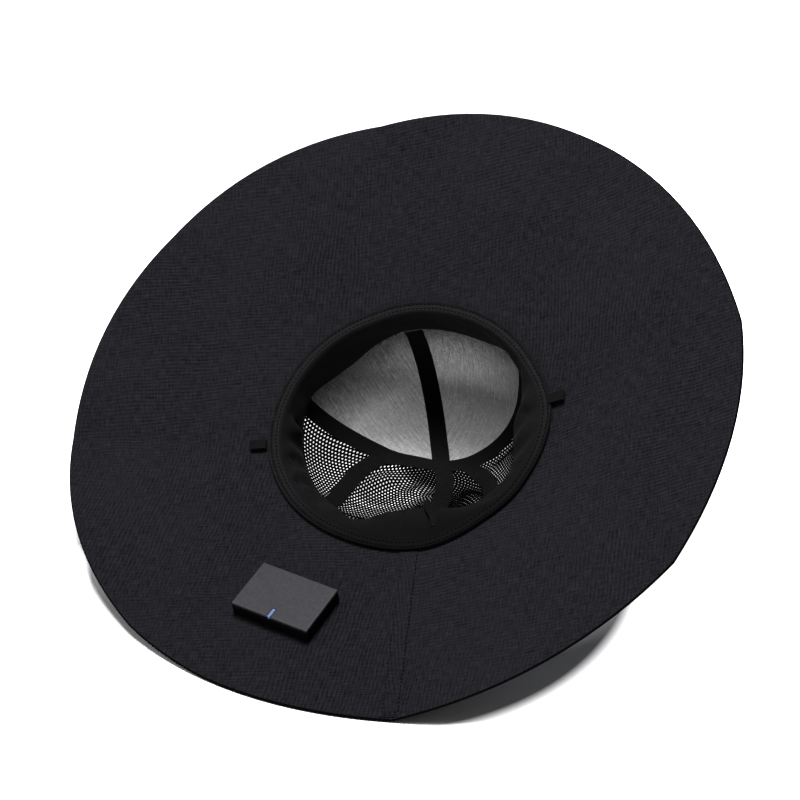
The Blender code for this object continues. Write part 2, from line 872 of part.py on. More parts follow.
def make_charger(brim, base_material, lid_material, light_material):
    tree = surface_tree([brim])
    frame = box_frame(tree)
    make_base(frame, tree, base_material)
    lid_bottom = BASE_HEIGHT + 2.0 * GAP
    lid_top = lid_bottom + LID_HEIGHT
    lid = make_block("charger_lid", frame, (BOX_LENGTH, BOX_WIDTH, LID_HEIGHT),
                     (0.0, 0.0, (lid_bottom + lid_top) / 2.0), lid_material)
    bevel(lid, BOX_ROUND)
    edge = BOX_WIDTH / 2.0
    slot_w = LIGHT_W + 2.0 * GAP
    slot_reach = LIGHT_REACH + GAP
    slot_depth = LIGHT_DEPTH + GAP
    shelf = make_block("light_slot_top", frame, (slot_w, 2.0 * slot_reach, 2.0 * slot_depth),
                       (0.0, edge, lid_top), base_material)
    drop = make_block("light_slot_side", frame, (slot_w, 2.0 * slot_depth, 3.0 * LID_HEIGHT),
                      (0.0, edge, lid_top), base_material)
    for cutter in (shelf, drop):
        cutter.hide_render = True
        cutter.display_type = "WIRE"
        cut = lid.modifiers.new("slot", "BOOLEAN")
        cut.operation = "DIFFERENCE"
        cut.object = cutter
    light = make_block("light_pipe", frame, (LIGHT_W, LIGHT_REACH, LIGHT_DEPTH),
                       (0.0, edge - LIGHT_REACH / 2.0, lid_top - LIGHT_DEPTH / 2.0), light_material)
    bend_light_pipe(light, frame, edge, lid_top, LID_HEIGHT)


def bend_light_pipe(light, frame, edge, lid_top, drop):
    """Extrude the outer end of the light pipe down the side of the lid."""
    shape = bmesh.new()
    shape.from_mesh(light.data)
    inner = edge - LIGHT_DEPTH
    bmesh.ops.bisect_plane(shape, geom=shape.verts[:] + shape.edges[:] + shape.faces[:],
                           plane_co=box_point(frame, 0.0, inner, 0.0), plane_no=frame[2])
    shape.faces.ensure_lookup_table()
    middle = box_point(frame, 0.0, edge - LIGHT_DEPTH / 2.0, lid_top - LIGHT_DEPTH)
    below = min(shape.faces, key=lambda face: (face.calc_center_median() - middle).length)
    grown = bmesh.ops.extrude_face_region(shape, geom=[below])
    moved = [item for item in grown["geom"] if isinstance(item, bmesh.types.BMVert)]
    bmesh.ops.translate(shape, verts=moved, vec=frame[3] * -(drop - LIGHT_DEPTH))
    bmesh.ops.delete(shape, geom=[below], context="FACES_ONLY")
    shape.to_mesh(light.data)
    shape.free()
    make_outward(light)


def centre_on_floor():
    """Move everything so that the origin is below the middle of the hat."""
    solids = [obj for obj in bpy.data.objects if obj.type == "MESH" and not obj.hide_render]
    points = np.array([tuple(vertex.co) for obj in solids for vertex in obj.data.vertices])
    low = points.min(axis=0)
    high = points.max(axis=0)
    shift = Vector((-(low[0] + high[0]) / 2.0, -(low[1] + high[1]) / 2.0, -low[2]))
    for obj in bpy.data.objects:
        obj.data.transform(Matrix.Translation(shift))
    return shift


def main():
    clear_scene()
    cloth_black = make_material("brim_cloth", (0.020, 0.019, 0.023), 0.85)
    band_black = make_material("band_cloth", (0.016, 0.016, 0.018), 0.80)
    tape_black = make_material("tape_cloth", (0.008, 0.008, 0.009), 0.75)
    sheer = make_material("sheer_cloth", (0.20, 0.20, 0.21), 0.80)
    net = make_material("net_cloth", (0.012, 0.012, 0.013), 0.80)
    cell = make_material("solar_laminate", (0.010, 0.012, 0.022), 0.25)
    base_plastic = make_material("base_plastic", (0.012, 0.012, 0.013), 0.55)
    lid_plastic = make_material("lid_plastic", (0.055, 0.055, 0.062), 0.45)
    light_plastic = make_material("light_plastic", (0.45, 0.68, 0.85), 0.30)

    brim = make_brim(cloth_black)
    make_laminates(cell)
    make_seam_strip(cloth_black)
    make_sweatband(band_black)
    make_panels(sheer, net)
    make_tapes(tape_black)
    make_loops(brim, tape_black)
    make_charger(brim, base_plastic, lid_plastic, light_plastic)
    return centre_on_floor()


SHIFT = main()
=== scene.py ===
"""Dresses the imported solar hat: cloth, net, stitching, solar laminates and charger box."""

import math

import bpy
import numpy as np
from mathutils import Matrix, Vector


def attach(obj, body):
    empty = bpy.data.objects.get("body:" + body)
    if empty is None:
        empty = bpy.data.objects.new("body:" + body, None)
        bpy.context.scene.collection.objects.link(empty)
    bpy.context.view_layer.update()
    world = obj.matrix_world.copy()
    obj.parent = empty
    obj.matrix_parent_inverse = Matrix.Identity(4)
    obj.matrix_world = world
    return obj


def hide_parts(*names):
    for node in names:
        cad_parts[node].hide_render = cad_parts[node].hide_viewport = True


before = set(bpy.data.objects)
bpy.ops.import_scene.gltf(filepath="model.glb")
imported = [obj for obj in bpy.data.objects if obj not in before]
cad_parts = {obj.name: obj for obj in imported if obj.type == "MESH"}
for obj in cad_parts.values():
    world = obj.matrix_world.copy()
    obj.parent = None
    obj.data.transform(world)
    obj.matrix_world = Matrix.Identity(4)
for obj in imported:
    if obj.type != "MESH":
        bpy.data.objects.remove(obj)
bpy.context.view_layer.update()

bl_info = {
    "name": "Solar hat",
    "version": (1, 0, 0),
    "blender": (4, 5, 0),
    "location": "View3D > Sidebar > Solar hat",
    "description": "Cloth, net, stitching and charger box of a wide-brimmed solar hat",
    "category": "Object",
}

# The hat's own shape, close to the solids' own: metres and degrees, in the hat's frame
FLANGE_R = 0.101
FLANGE_OVAL = 0.0041
FLANGE_OVAL_ANGLE = -50.5
FLANGE_SHIFT = (0.0008, -0.0035)
BAND_T = 0.0015
FLANGE_W = 0.0074
LIP_RISE = 0.0017
BRIM_R = 0.2425
BRIM_T = 0.0024
BRIM_OVERLAP = 0.0046
BRIM_FLAT = 0.0008
SECTORS = 8
# Of each crease: turn in degrees, reach and rise as shares of BRIM_R, and the bulge of the
# edge that follows it, a share too
CREASES = np.array((
    (0.9, 0.981, 0.144, 0.060),
    (0.5, 0.972, 0.156, 0.073),
    (0.6, 0.963, 0.168, 0.070),
    (-0.4, 0.967, 0.172, 0.063),
    (-3.0, 0.982, 0.111, 0.064),
    (-2.8, 0.966, 0.195, 0.077),
    (-1.6, 0.990, 0.112, 0.080),
    (2.4, 0.991, 0.122, 0.066),
))
CROWN_T = 0.0012
CROWN_GAP = 0.0007
BAND_LENGTH = 0.036
WALL_DEPTH = 0.090
SINK = 0.005
CROWN_TURN = 0.0025
# Every 30 degrees: lean behind the sweatband and below it, and the power of the corner
HANG = np.array((
    (37.0, 15.0, 0.80),
    (0.0, 15.0, 0.75),
    (-8.0, 11.0, 0.75),
    (-10.0, 7.0, 0.75),
    (0.0, 16.0, 0.75),
    (-3.0, 26.0, 0.75),
    (12.0, 20.0, 0.85),
    (26.0, 12.0, 1.00),
    (43.0, 8.0, 1.25),
    (64.0, 5.0, 1.45),
    (46.0, 8.0, 1.25),
    (37.0, 12.0, 1.00),
))
# Angle at the band and near the top, where the bend ends, and how late it bends
PANEL_SEAMS = (
    (34.0, 32.0, 0.80, 1.0),
    (91.5, 95.0, 0.80, 1.0),
    (148.5, 145.0, 0.80, 1.0),
    (206.0, 149.0, 0.62, 1.6),
    (280.0, 292.0, 0.90, 4.0),
    (304.0, 385.0, 0.86, 2.2),
)
# How far the flange's edge strays from its oval: angle, metres
FLANGE_STRAY = (
    (0.0, 0.0010), (15.0, -0.0012), (45.0, -0.0013), (80.0, -0.0022), (94.0, -0.0036),
    (104.0, -0.0052), (120.0, -0.0048), (136.0, -0.0044), (156.0, -0.0034), (172.0, -0.0012),
    (186.0, 0.0004), (215.0, 0.0012), (243.0, 0.0002), (256.0, 0.0008), (268.0, 0.0024),
    (278.0, 0.0030), (289.0, 0.0012), (300.0, -0.0003), (314.0, 0.0008), (323.0, 0.0),
    (340.0, 0.0010), (354.0, 0.0020),
)
# Depth of the sweatband's edge below the flange: angle, metres
BAND_DEPTHS = (
    (2.0, 0.040), (8.0, 0.034), (15.0, 0.025), (23.0, 0.018), (31.0, 0.018), (40.0, 0.020),
    (53.0, 0.030), (63.0, 0.0345), (75.0, 0.0325), (86.0, 0.028), (95.0, 0.026), (101.0, 0.027),
    (109.0, 0.0290), (121.0, 0.0350), (133.0, 0.0340), (145.0, 0.0275), (150.0, 0.031),
    (157.0, 0.036), (166.0, 0.0365), (178.0, 0.0345), (190.0, 0.0330), (204.0, 0.0335),
    (217.0, 0.0315), (226.0, 0.0260), (235.0, 0.0200), (240.0, 0.0280), (246.0, 0.0390),
    (253.0, 0.0420), (262.0, 0.0380), (270.0, 0.0420), (280.0, 0.0430), (290.0, 0.0425),
    (301.0, 0.0390), (311.0, 0.0370), (318.0, 0.0350), (325.0, 0.0335), (334.0, 0.0380),
    (350.0, 0.0410),
)
GAP = 0.0003
BAND_GAP = 0.0007
SLIM = 0.0001        # half of a dressed piece is thinner than half of its solid by this

# How the hat lies in the row's frame
PITCH = 24.8412674
ROLL = -16.74
SPIN = 0.8
RING_CENTRE = np.array((0.0094297, 0.0152974, 0.0785973))
TOP = np.array((0.0265876 + 0.0094297, 0.0549488 + 0.0152974, CROWN_T / 2.0 - SINK))

WEAVE_MAP = "cloth"


def pose_matrix():
    tilt = Matrix.Rotation(math.radians(PITCH), 3, "X")
    roll = Matrix.Rotation(math.radians(ROLL), 3, "Y")
    return np.array(tilt @ roll @ Matrix.Rotation(math.radians(SPIN), 3, "Z"))


TURN = pose_matrix()


# Geometry in rows of points

def unit(rows):
    return rows / np.maximum(np.linalg.norm(rows, axis=-1, keepdims=True), 1e-12)


def ease(share):
    share = np.clip(share, 0.0, 1.0)
    return share * share * (3.0 - 2.0 * share)


def bump(place, middle, half):
    """A rounded hump, 1 in the middle."""
    return np.exp(-((place - middle) / half) ** 2)


def angle_bump(degrees, middle, half):
    return bump((degrees - middle + 180.0) % 360.0 - 180.0, 0.0, half)


def polar(radius, degrees, height=0.0):
    turn = np.radians(degrees)
    radius = np.broadcast_to(radius, np.shape(turn))
    return np.stack([radius * np.cos(turn), radius * np.sin(turn),
                     np.broadcast_to(height, np.shape(turn))], -1)


def to_floor(points):
    """From the hat's frame to the row's."""
    return points @ TURN.T + RING_CENTRE


def both(first, second):
    """Two values or grids brought to one shape."""
    return np.broadcast_arrays(np.asarray(first, float), np.asarray(second, float))


def between_rows(spots, places, rows):
    """Rows of numbers at spots, read between the rows that are known at places."""
    return np.stack([np.interp(spots, places, column) for column in np.transpose(rows)], -1)


def keep_above(points, height, soft):
    over = points[..., 2] - height
    over = np.where(over < soft, np.maximum(over + soft, 0.0) ** 2 / (4.0 * soft), over)
    return np.concatenate([points[..., :2], (height + over)[..., None]], -1)


def around(degrees, table, soften=3.0):
    """Values of an angle table all the way round, softened over a few degrees."""
    table = np.array(table)
    spread = np.array((-1.0, -0.5, 0.0, 0.5, 1.0)) * soften
    spots = np.asarray(degrees, float)[..., None] + spread
    return np.interp(spots % 360.0, table[:, 0], table[:, 1], period=360.0).mean(-1)


def ring_point(degrees, inset, height=0.0, stray=1.0):
    degrees = np.asarray(degrees, float)
    oval = FLANGE_OVAL * np.cos(np.radians(2.0 * (degrees - FLANGE_OVAL_ANGLE)))
    oval = oval + around(degrees, FLANGE_STRAY) * stray
    middle = np.array((*FLANGE_SHIFT, 0.0))
    return middle + polar(FLANGE_R + oval - inset, degrees, height)


def crease_ends():
    turn = np.arange(SECTORS) * 360.0 / SECTORS + CREASES[:, 0]
    return polar(CREASES[:, 1] * BRIM_R, turn, CREASES[:, 2] * BRIM_R)


def edge_point(place):
    """Points of the brim's outer edge. place counts creases, fractions lie between."""
    ends = crease_ends()
    roots = ring_point(np.arange(SECTORS) * 360.0 / SECTORS, 0.0)
    spokes = ends - roots
    outward = unit(spokes + np.roll(spokes, -1, 0))
    index = np.floor(place).astype(int) % SECTORS
    share = (place - np.floor(place))[..., None]
    bulge = CREASES[index, 3][..., None] * BRIM_R * 4.0 * share * (1.0 - share)
    chord = ends[index] * (1.0 - share) + ends[(index + 1) % SECTORS] * share
    return chord + outward[index] * bulge


def brim_local(place, row):
    inner = ring_point(place * 360.0 / SECTORS, -BRIM_FLAT)
    row = np.asarray(row)[..., None]
    return inner * (1.0 - row) + edge_point(place) * row


def brim_point(place, row):
    place, row = both(place, row)
    return keep_above(to_floor(brim_local(place, row)), BRIM_T / 2.0, 0.0001)


def brim_normal(place, row):
    """Out of the brim's underside, which faces up, within one sector."""
    place, row = both(place, row)
    low = np.floor(place + 1e-6)
    share = np.clip(place - low, 0.02, 0.98)
    ahead = to_floor(brim_local(low + share + 0.01, row))
    behind = to_floor(brim_local(low + share - 0.01, row))
    along = to_floor(brim_local(place, row * 0.0 + 1.0)) - to_floor(brim_local(place, row * 0.0))
    normal = unit(np.cross(along, ahead - behind))
    return np.where(normal[..., 2:] > 0.0, normal, -normal)


# The crown

def hang(degrees):
    place = np.asarray(degrees) % 360.0 * len(HANG) / 360.0
    first = np.floor(place).astype(int)
    share = (place - first)[..., None]
    a, b, c, d = (HANG[(first + step) % len(HANG)] for step in (-1, 0, 1, 2))
    bend = 2.0 * a - 5.0 * b + 4.0 * c - d
    curl = 3.0 * (b - c) + d - a
    return b + 0.5 * share * (c - a + share * (bend + share * curl))


def wall_direction(degrees, leaning):
    lean = np.radians(leaning)
    inward = -polar(np.sin(lean), degrees)
    down = np.zeros_like(inward)
    down[..., 2] = -np.cos(lean)
    return (inward + down) @ TURN.T


class Crown:
    """The crown's middle surface, sampled once over angle and share.

    share runs from -1 at the opening to 0 at the sweatband's end and 1 at the top.
    """

    STEPS = 480
    SAMPLES = 80

    def __init__(self):
        angle = np.arange(self.STEPS) * 360.0 / self.STEPS
        band_lean, wall_lean, power = hang(angle).T
        inset = BRIM_OVERLAP + CROWN_GAP + CROWN_T / 2.0
        start = to_floor(ring_point(angle, inset))
        even_start = to_floor(ring_point(angle, inset, stray=0.0))
        low = even_start + wall_direction(angle, band_lean) * BAND_LENGTH
        wall = wall_direction(angle, wall_lean)
        ground = (low[:, 2] + SINK) / -wall[:, 2]
        reach = (WALL_DEPTH ** -8.0 + ground ** -8.0) ** -0.125
        corner = low + wall * reach[:, None]
        turn = np.linspace(0.0, math.pi / 2.0, self.SAMPLES + 1)
        across = np.maximum(np.cos(turn), 0.0)[None] ** power[:, None]
        down = np.sin(turn)[None] ** power[:, None]
        lower = (low + TOP - corner)[:, None] + (corner - TOP)[:, None] * across[..., None]
        lower = lower + (corner - low)[:, None] * down[..., None]
        lower = keep_above(lower, CROWN_T / 2.0, CROWN_TURN)
        step = np.linalg.norm(np.diff(lower, axis=1), axis=2)
        gone = np.concatenate([np.zeros((self.STEPS, 1)), np.cumsum(step, 1)], 1)
        self.length = gone[:, -1]
        even = np.linspace(0.0, 1.0, self.SAMPLES + 1)
        self.lower = np.array([between_rows(even * places[-1], places, line)
                               for places, line in zip(gone, lower)])
        self.start = keep_above(start, CROWN_T / 2.0, CROWN_TURN)

    def columns(self, degrees):
        """The sampled lines on both sides of an angle, and how far it is between them."""
        place = np.asarray(degrees) % 360.0 * self.STEPS / 360.0
        first = np.floor(place).astype(int) % self.STEPS
        return first, (first + 1) % self.STEPS, place - np.floor(place)

    def lengths(self, degrees):
        first, after, mix = self.columns(degrees)
        return self.length[first] * (1.0 - mix) + self.length[after] * mix

    def point(self, degrees, share):
        degrees, share = both(degrees, share)
        first, after, mix = self.columns(degrees)
        mix = mix[..., None]
        low = np.clip(share, 0.0, 1.0) * self.SAMPLES
        cell = np.minimum(np.floor(low).astype(int), self.SAMPLES - 1)
        part = (low - cell)[..., None]
        behind = np.clip(-share, 0.0, 1.0)[..., None]

        def line(index):
            lower = self.lower[index, cell] * (1.0 - part) + self.lower[index, cell + 1] * part
            return lower + (self.start[index] - self.lower[index, 0]) * behind

        here = line(first) * (1.0 - mix) + line(after) * mix
        lift = fold_height(degrees, share)
        return here + np.stack([lift * 0.0, lift * 0.0, lift], -1)

    def normal(self, degrees, share):
        """Into the crown's hollow."""
        down = self.point(degrees, share + 0.012) - self.point(degrees, share - 0.012)
        side = self.point(degrees + 0.8, share) - self.point(degrees - 0.8, share)
        return unit(np.cross(side, down))


def seam_angle(index, share):
    low, high, bend, power = PANEL_SEAMS[index % len(PANEL_SEAMS)]
    turned = np.clip(np.asarray(share) / bend, 0.0, 1.0) ** power
    return low + (high - low) * (ease(turned) if power == 1.0 else turned)


def panel_span(index, share):
    """Angle where a panel begins at this share, and the angle that it spans."""
    first = seam_angle(index, share)
    return first, (seam_angle(index + 1, share) - first) % 360.0


# Folds in the slack net: angle, half-angle, share, half-share, metres
FOLDS = (
    (240.0, 15.0, 0.62, 0.14, 0.0056),
    (310.0, 12.0, 0.50, 0.16, 0.0056),
    (182.0, 12.0, 0.55, 0.16, 0.0056),
    (6.0, 11.0, 0.45, 0.16, 0.0042),
)


def fold_height(degrees, share):
    across = np.zeros(np.shape(degrees))
    for index in range(len(PANEL_SEAMS)):
        first, span = panel_span(index, share)
        away = (degrees - first) % 360.0
        across = np.where(away <= span, away / np.maximum(span, 1e-6), across)
    height = np.zeros(np.shape(degrees))
    for angle, half, place, place_half, rise in FOLDS:
        height = height + rise * angle_bump(degrees, angle, half) * bump(share, place, place_half)
    return height * np.sin(np.pi * across) ** 2 * ease(share / 0.2)


CROWN = Crown()


# Meshes

def make_object(name, points, faces, slots, uvs=None, smooth=True, sharp=40.0):
    mesh = bpy.data.meshes.new(name)
    mesh.from_pydata(np.asarray(points, float).reshape(-1, 3).tolist(), [], faces)
    if uvs is not None:
        layer = mesh.uv_layers.new(name=WEAVE_MAP)
        layer.data.foreach_set("uv", np.asarray(uvs, np.float32).ravel())
    mesh.validate()
    mesh.update()
    for slot in slots:
        mesh.materials.append(MATERIALS[slot])
    obj = bpy.data.objects.new(name, mesh)
    bpy.context.scene.collection.objects.link(obj)
    if smooth:
        mesh.shade_smooth()
        mesh.set_sharp_from_angle(angle=math.radians(sharp))
    return obj


def shell(name, middle, normals, half, slots, closed=False, sharp=40.0):
    """A closed sheet about a grid of points, half its thickness to each side.

    The order of its faces is: both sides, the first and last rows' walls, the columns' walls.
    """
    half = half[..., None]
    outer, inner = middle + normals * half, middle - normals * half
    rows, columns = outer.shape[:2]
    uvs = grid_uvs(outer, closed)
    count = rows * columns
    wide = columns if closed else columns - 1
    faces, corners = [], []

    def add(spots, flip=False):
        """A face from its spots, each a row, a column and a side."""
        for row, column, side in spots[::-1] if flip else spots:
            faces.append(side * count + row * columns + column % columns)
            corners.append(uvs[row, column])

    for row in range(rows - 1):
        for column in range(wide):
            ring = ((row, column), (row, column + 1), (row + 1, column + 1), (row + 1, column))
            add([(*spot, 0) for spot in ring])
            add([(*spot, 1) for spot in reversed(ring)])
    for row, flip in ((0, False), (rows - 1, True)):
        for column in range(wide):
            add(((row, column + 1, 0), (row, column, 0),
                 (row, column, 1), (row, column + 1, 1)), flip)
    if not closed:
        for column, flip in ((0, False), (columns - 1, True)):
            for row in range(rows - 1):
                add(((row, column, 0), (row + 1, column, 0),
                     (row + 1, column, 1), (row, column, 1)), flip)
    points = np.concatenate([outer.reshape(-1, 3), inner.reshape(-1, 3)])
    quads = np.reshape(faces, (-1, 4)).tolist()
    return make_object(name, points, quads, slots, corners, sharp=sharp)


def grid_uvs(grid, closed):
    """Metres across each row, and along the grid as a mean of its columns."""
    rows, columns = grid.shape[:2]
    wide = np.concatenate([grid, grid[:, :1]], 1) if closed else grid
    across = np.linalg.norm(np.diff(wide, axis=1), axis=2)
    along = np.linalg.norm(np.diff(grid, axis=0), axis=2)
    u = np.concatenate([np.zeros((rows, 1)), np.cumsum(across, 1)], 1)
    v = np.concatenate([[0.0], np.cumsum(along.mean(1))])
    if not closed:
        u = u - u[:, columns // 2: columns // 2 + 1]
    return np.stack([u, np.broadcast_to(v[:, None], u.shape)], -1)


def closed_normals(grid):
    """Normals of a grid of points whose rows are closed rings."""
    side = np.roll(grid, -1, 1) - np.roll(grid, 1, 1)
    return unit(np.cross(side, np.gradient(grid, axis=0)))


def resample(line, spacing):
    """Points along a line at even distances, with their directions and shares of it."""
    step = np.linalg.norm(np.diff(line, axis=0), axis=1)
    gone = np.concatenate([[0.0], np.cumsum(step)])
    count = max(int(gone[-1] / spacing), 1)
    places = (np.arange(count) + 0.5) * gone[-1] / count
    points, ahead, behind = (between_rows(places + shift, gone, line)
                             for shift in (0.0, 0.0002, -0.0002))
    return points, unit(ahead - behind), places / gone[-1]


# Rings of one stitch: place along its length, width and rise in radii
STITCH_PROFILE = ((-0.5, 0.25, -0.9), (-0.32, 0.85, -0.1), (0.0, 1.0, 0.25),
                  (0.32, 0.85, -0.1), (0.5, 0.25, -0.9))
STITCH_SIDES = 6


def stitches(name, lines, normals, settings, radius):
    """Short raised threads along lines, each a tapered six-sided loop of thread."""
    turns = np.arange(STITCH_SIDES) * 2.0 * math.pi / STITCH_SIDES
    points, faces = [], []
    for line, normal in zip(lines, normals):
        places, ahead, share = resample(np.asarray(line), settings.stitch_pitch)
        index = share * (len(normal) - 1)
        up = unit(between_rows(index, np.arange(len(normal)), normal))
        side = unit(np.cross(ahead, up))
        for place, way, wide, high in zip(places, ahead, side, up):
            base = len(points)
            for along, size, rise in STITCH_PROFILE:
                middle = place + way * along * settings.stitch_length + high * rise * radius
                points += [middle + (wide * math.cos(turn) + high * math.sin(turn)) * size * radius
                           for turn in turns]
            last = len(points) - STITCH_SIDES
            for ring in range(base, last, STITCH_SIDES):
                for spot in range(STITCH_SIDES):
                    a, b = ring + spot, ring + (spot + 1) % STITCH_SIDES
                    faces.append((a, b, b + STITCH_SIDES, a + STITCH_SIDES))
            faces.append(tuple(reversed(range(base, base + STITCH_SIDES))))
            faces.append(tuple(range(last, last + STITCH_SIDES)))
    return make_object(name, points, faces, ("thread",), sharp=80.0)


# Materials

GROUPS = {}
MATERIALS = {}


def feed(tree, node, inlets):
    """Links sockets to a node's inlets, or sets plain values on them."""
    for name, value in inlets.items():
        inlet = node.inputs[name]
        if isinstance(value, bpy.types.NodeSocket):
            tree.links.new(value, inlet)
        elif value is not None:
            inlet.default_value = (*value[:3], 1.0) if inlet.type == "RGBA" else value


def add_node(tree, kind, inlets, **options):
    node = tree.nodes.new("ShaderNode" + kind)
    for name, option in options.items():
        setattr(node, name, option)
    feed(tree, node, inlets)
    return node


def math_node(tree, operation, a, b=None, clamp=False):
    return add_node(tree, "Math", {0: a, 1: b}, operation=operation, use_clamp=clamp).outputs[0]


def times(tree, a, b, clamp=False):
    return math_node(tree, "MULTIPLY", a, b, clamp)


def plus(tree, a, b, clamp=False):
    return math_node(tree, "ADD", a, b, clamp)


def noise_node(tree, vector, scale, detail=2.0, roughness=0.5):
    inlets = {"Vector": vector, "Scale": scale, "Detail": detail, "Roughness": roughness}
    return add_node(tree, "TexNoise", inlets).outputs["Fac"]


def ramp(tree, value, low, high, to_low=0.0, to_high=1.0):
    inlets = {"Value": value, "From Min": low, "From Max": high,
              "To Min": to_low, "To Max": to_high}
    return add_node(tree, "MapRange", inlets).outputs["Result"]


def mix_colour(tree, fac, a, b):
    return add_node(tree, "Mix", {0: fac, 6: a, 7: b}, data_type="RGBA").outputs[2]


def object_spot(tree):
    return add_node(tree, "TexCoord", {}).outputs["Object"]


def split_axes(tree, vector):
    return add_node(tree, "SeparateXYZ", {0: vector}).outputs


def shade_of(colour, factor):
    return tuple(min(channel * factor, 1.0) for channel in colour[:3])


def varied(tree, fac, colour, low, high):
    """A colour that goes from one share of itself to another."""
    return mix_colour(tree, fac, shade_of(colour, low), shade_of(colour, high))


def new_group(name, inputs, outputs):
    group = bpy.data.node_groups.new(name, "ShaderNodeTree")
    for label, kind, default in inputs:
        item = group.interface.new_socket(name=label, in_out="INPUT", socket_type=kind)
        if default is not None:
            item.default_value = default
    for label in outputs:
        group.interface.new_socket(name=label, in_out="OUTPUT", socket_type="NodeSocketFloat")
    return group, group.nodes.new("NodeGroupInput").outputs, group.nodes.new("NodeGroupOutput")


def threads(group, vector, along, across, strength):
    """Long thin streaks, like the threads of a cloth running one way."""
    stretch = add_node(group, "Mapping", {"Vector": vector, "Scale": (across, along, 1.0)})
    streak = noise_node(group, stretch.outputs[0], 1.0, 2.0, 0.6)
    return ramp(group, streak, 0.5 - strength, 0.5 + strength)


def weave_group():
    """Plain woven cloth: threads both ways, slubs, and ribs that come and go in patches."""
    group, source, result = new_group(
        "woven cloth",
        (("Cloth", "NodeSocketVector", None), ("Threads", "NodeSocketFloat", 1100.0),
         ("Rib Pitch", "NodeSocketFloat", 0.003), ("Rib Angle", "NodeSocketFloat", 0.6),
         ("Rib Strength", "NodeSocketFloat", 0.5)),
        ("Height", "Tint"))
    flat = source["Cloth"]
    grown = add_node(group, "VectorMath", {0: flat, "Scale": source["Threads"]}, operation="SCALE")
    thread = plus(group, threads(group, grown.outputs[0], 0.10, 1.0, 0.22),
                  threads(group, grown.outputs[0], 1.0, 0.10, 0.22))
    bent = noise_node(group, flat, 9.0, 2.0)
    ribs = []
    for turn in (0.0, 1.35):
        inlets = {"Vector": flat, "Angle": plus(group, source["Rib Angle"], turn)}
        turned = add_node(group, "VectorRotate", inlets, rotation_type="Z_AXIS")
        across = split_axes(group, turned.outputs[0])[0]
        place = math_node(group, "DIVIDE", across, source["Rib Pitch"])
        place = plus(group, place, times(group, bent, 7.0))
        ribs.append(math_node(group, "SINE", times(group, place, 2.0 * math.pi)))
    patch = ramp(group, noise_node(group, flat, 6.0, 1.0), 0.40, 0.60)
    inlets = {"Factor": patch, "A": ribs[0], "B": ribs[1]}
    rib = add_node(group, "Mix", inlets, data_type="FLOAT").outputs["Result"]
    rib = times(group, rib, source["Rib Strength"])
    feed(group, result, {
        "Height": plus(group, times(group, thread, 0.5), times(group, rib, 0.25)),
        "Tint": plus(group, times(group, thread, 0.5), times(group, rib, 0.5))})
    return group


def wear_group():
    """Soft lightening on raised edges and dust in broad patches."""
    group, source, result = new_group(
        "edge wear and dust",
        (("Edge", "NodeSocketFloat", 0.5), ("Patch Scale", "NodeSocketFloat", 14.0)),
        ("Wear", "Dust"))
    spot = object_spot(group)
    pointed = add_node(group, "NewGeometry", {}).outputs["Pointiness"]
    scratch = ramp(group, noise_node(group, spot, 420.0, 3.0, 0.7), 0.35, 0.65)
    wear = times(group, ramp(group, pointed, 0.50, 0.60), scratch, True)
    feed(group, result, {
        "Wear": times(group, wear, source["Edge"], True),
        "Dust": ramp(group, noise_node(group, spot, source["Patch Scale"]), 0.42, 0.68)})
    return group


def new_material(name, roughness, specular):
    material = bpy.data.materials.new(name)
    material.use_nodes = True
    tree = material.node_tree
    shader = tree.nodes["Principled BSDF"]
    feed(tree, shader, {"Roughness": roughness, "Specular IOR Level": specular})
    return material, tree, shader


def add_bump(tree, shader, height, distance):
    node = add_node(tree, "Bump", {"Height": height, "Distance": distance, "Strength": 1.0})
    feed(tree, shader, {"Normal": node.outputs[0]})


def cloth_vector(tree):
    """The cloth's own coordinates, in metres."""
    return add_node(tree, "UVMap", {}, uv_map=WEAVE_MAP).outputs[0]


def level_vector(tree):
    """Coordinates in the hat's level plane, for the brim and the threads."""
    inlets = {"Vector": object_spot(tree), "Location": tuple(RING_CENTRE),
              "Rotation": Matrix(TURN.tolist()).to_euler("XYZ")}
    axes = split_axes(tree, add_node(tree, "Mapping", inlets, vector_type="TEXTURE").outputs[0])
    return add_node(tree, "CombineXYZ", {0: axes[0], 1: axes[1]}).outputs[0]


def cloth_material(name, colour, fineness, rib_pitch, depth, level=False, spread=0.5,
                   roughness=0.85, specular=0.12, sheen=0.02, wear=0.0, rib_angle=0.2, ribs=0.5,
                   painted_rear_shade=1.0):
    material, tree, shader = new_material(name, roughness, specular)
    weave = add_node(tree, "Group", {
        "Cloth": level_vector(tree) if level else cloth_vector(tree), "Threads": 1.0 / fineness,
        "Rib Pitch": rib_pitch, "Rib Angle": rib_angle, "Rib Strength": ribs,
    }, node_tree=GROUPS["weave"]).outputs
    worn = add_node(tree, "Group", {"Edge": wear}, node_tree=GROUPS["wear"]).outputs
    tint = ramp(tree, weave["Tint"], 0.0, 1.0)
    woven = varied(tree, tint, colour, 1.0 - spread, 1.0 + spread)
    dusty = mix_colour(tree, times(tree, worn["Dust"], 0.2), woven, shade_of(colour, 1.5))
    edged = mix_colour(tree, worn["Wear"], dusty, shade_of(colour, 3.0))
    # Painted shade: the cloth is darker towards the rear, by its object y, and blends to its own
    # colour towards the front.
    if painted_rear_shade < 1.0:
        front = ramp(tree, split_axes(tree, object_spot(tree))[1], -0.070, -0.015)
        edged = mix_colour(tree, front, shade_of(colour, painted_rear_shade), edged)
    feed(tree, shader, {
        "Base Color": edged,
        "Roughness": math_node(tree, "SUBTRACT", roughness + 0.06, times(tree, tint, 0.12), True),
        "Sheen Weight": sheen, "Sheen Roughness": 0.5, "Sheen Tint": (0.75, 0.76, 0.80)})
    add_bump(tree, shader, weave["Height"], depth)
    return material


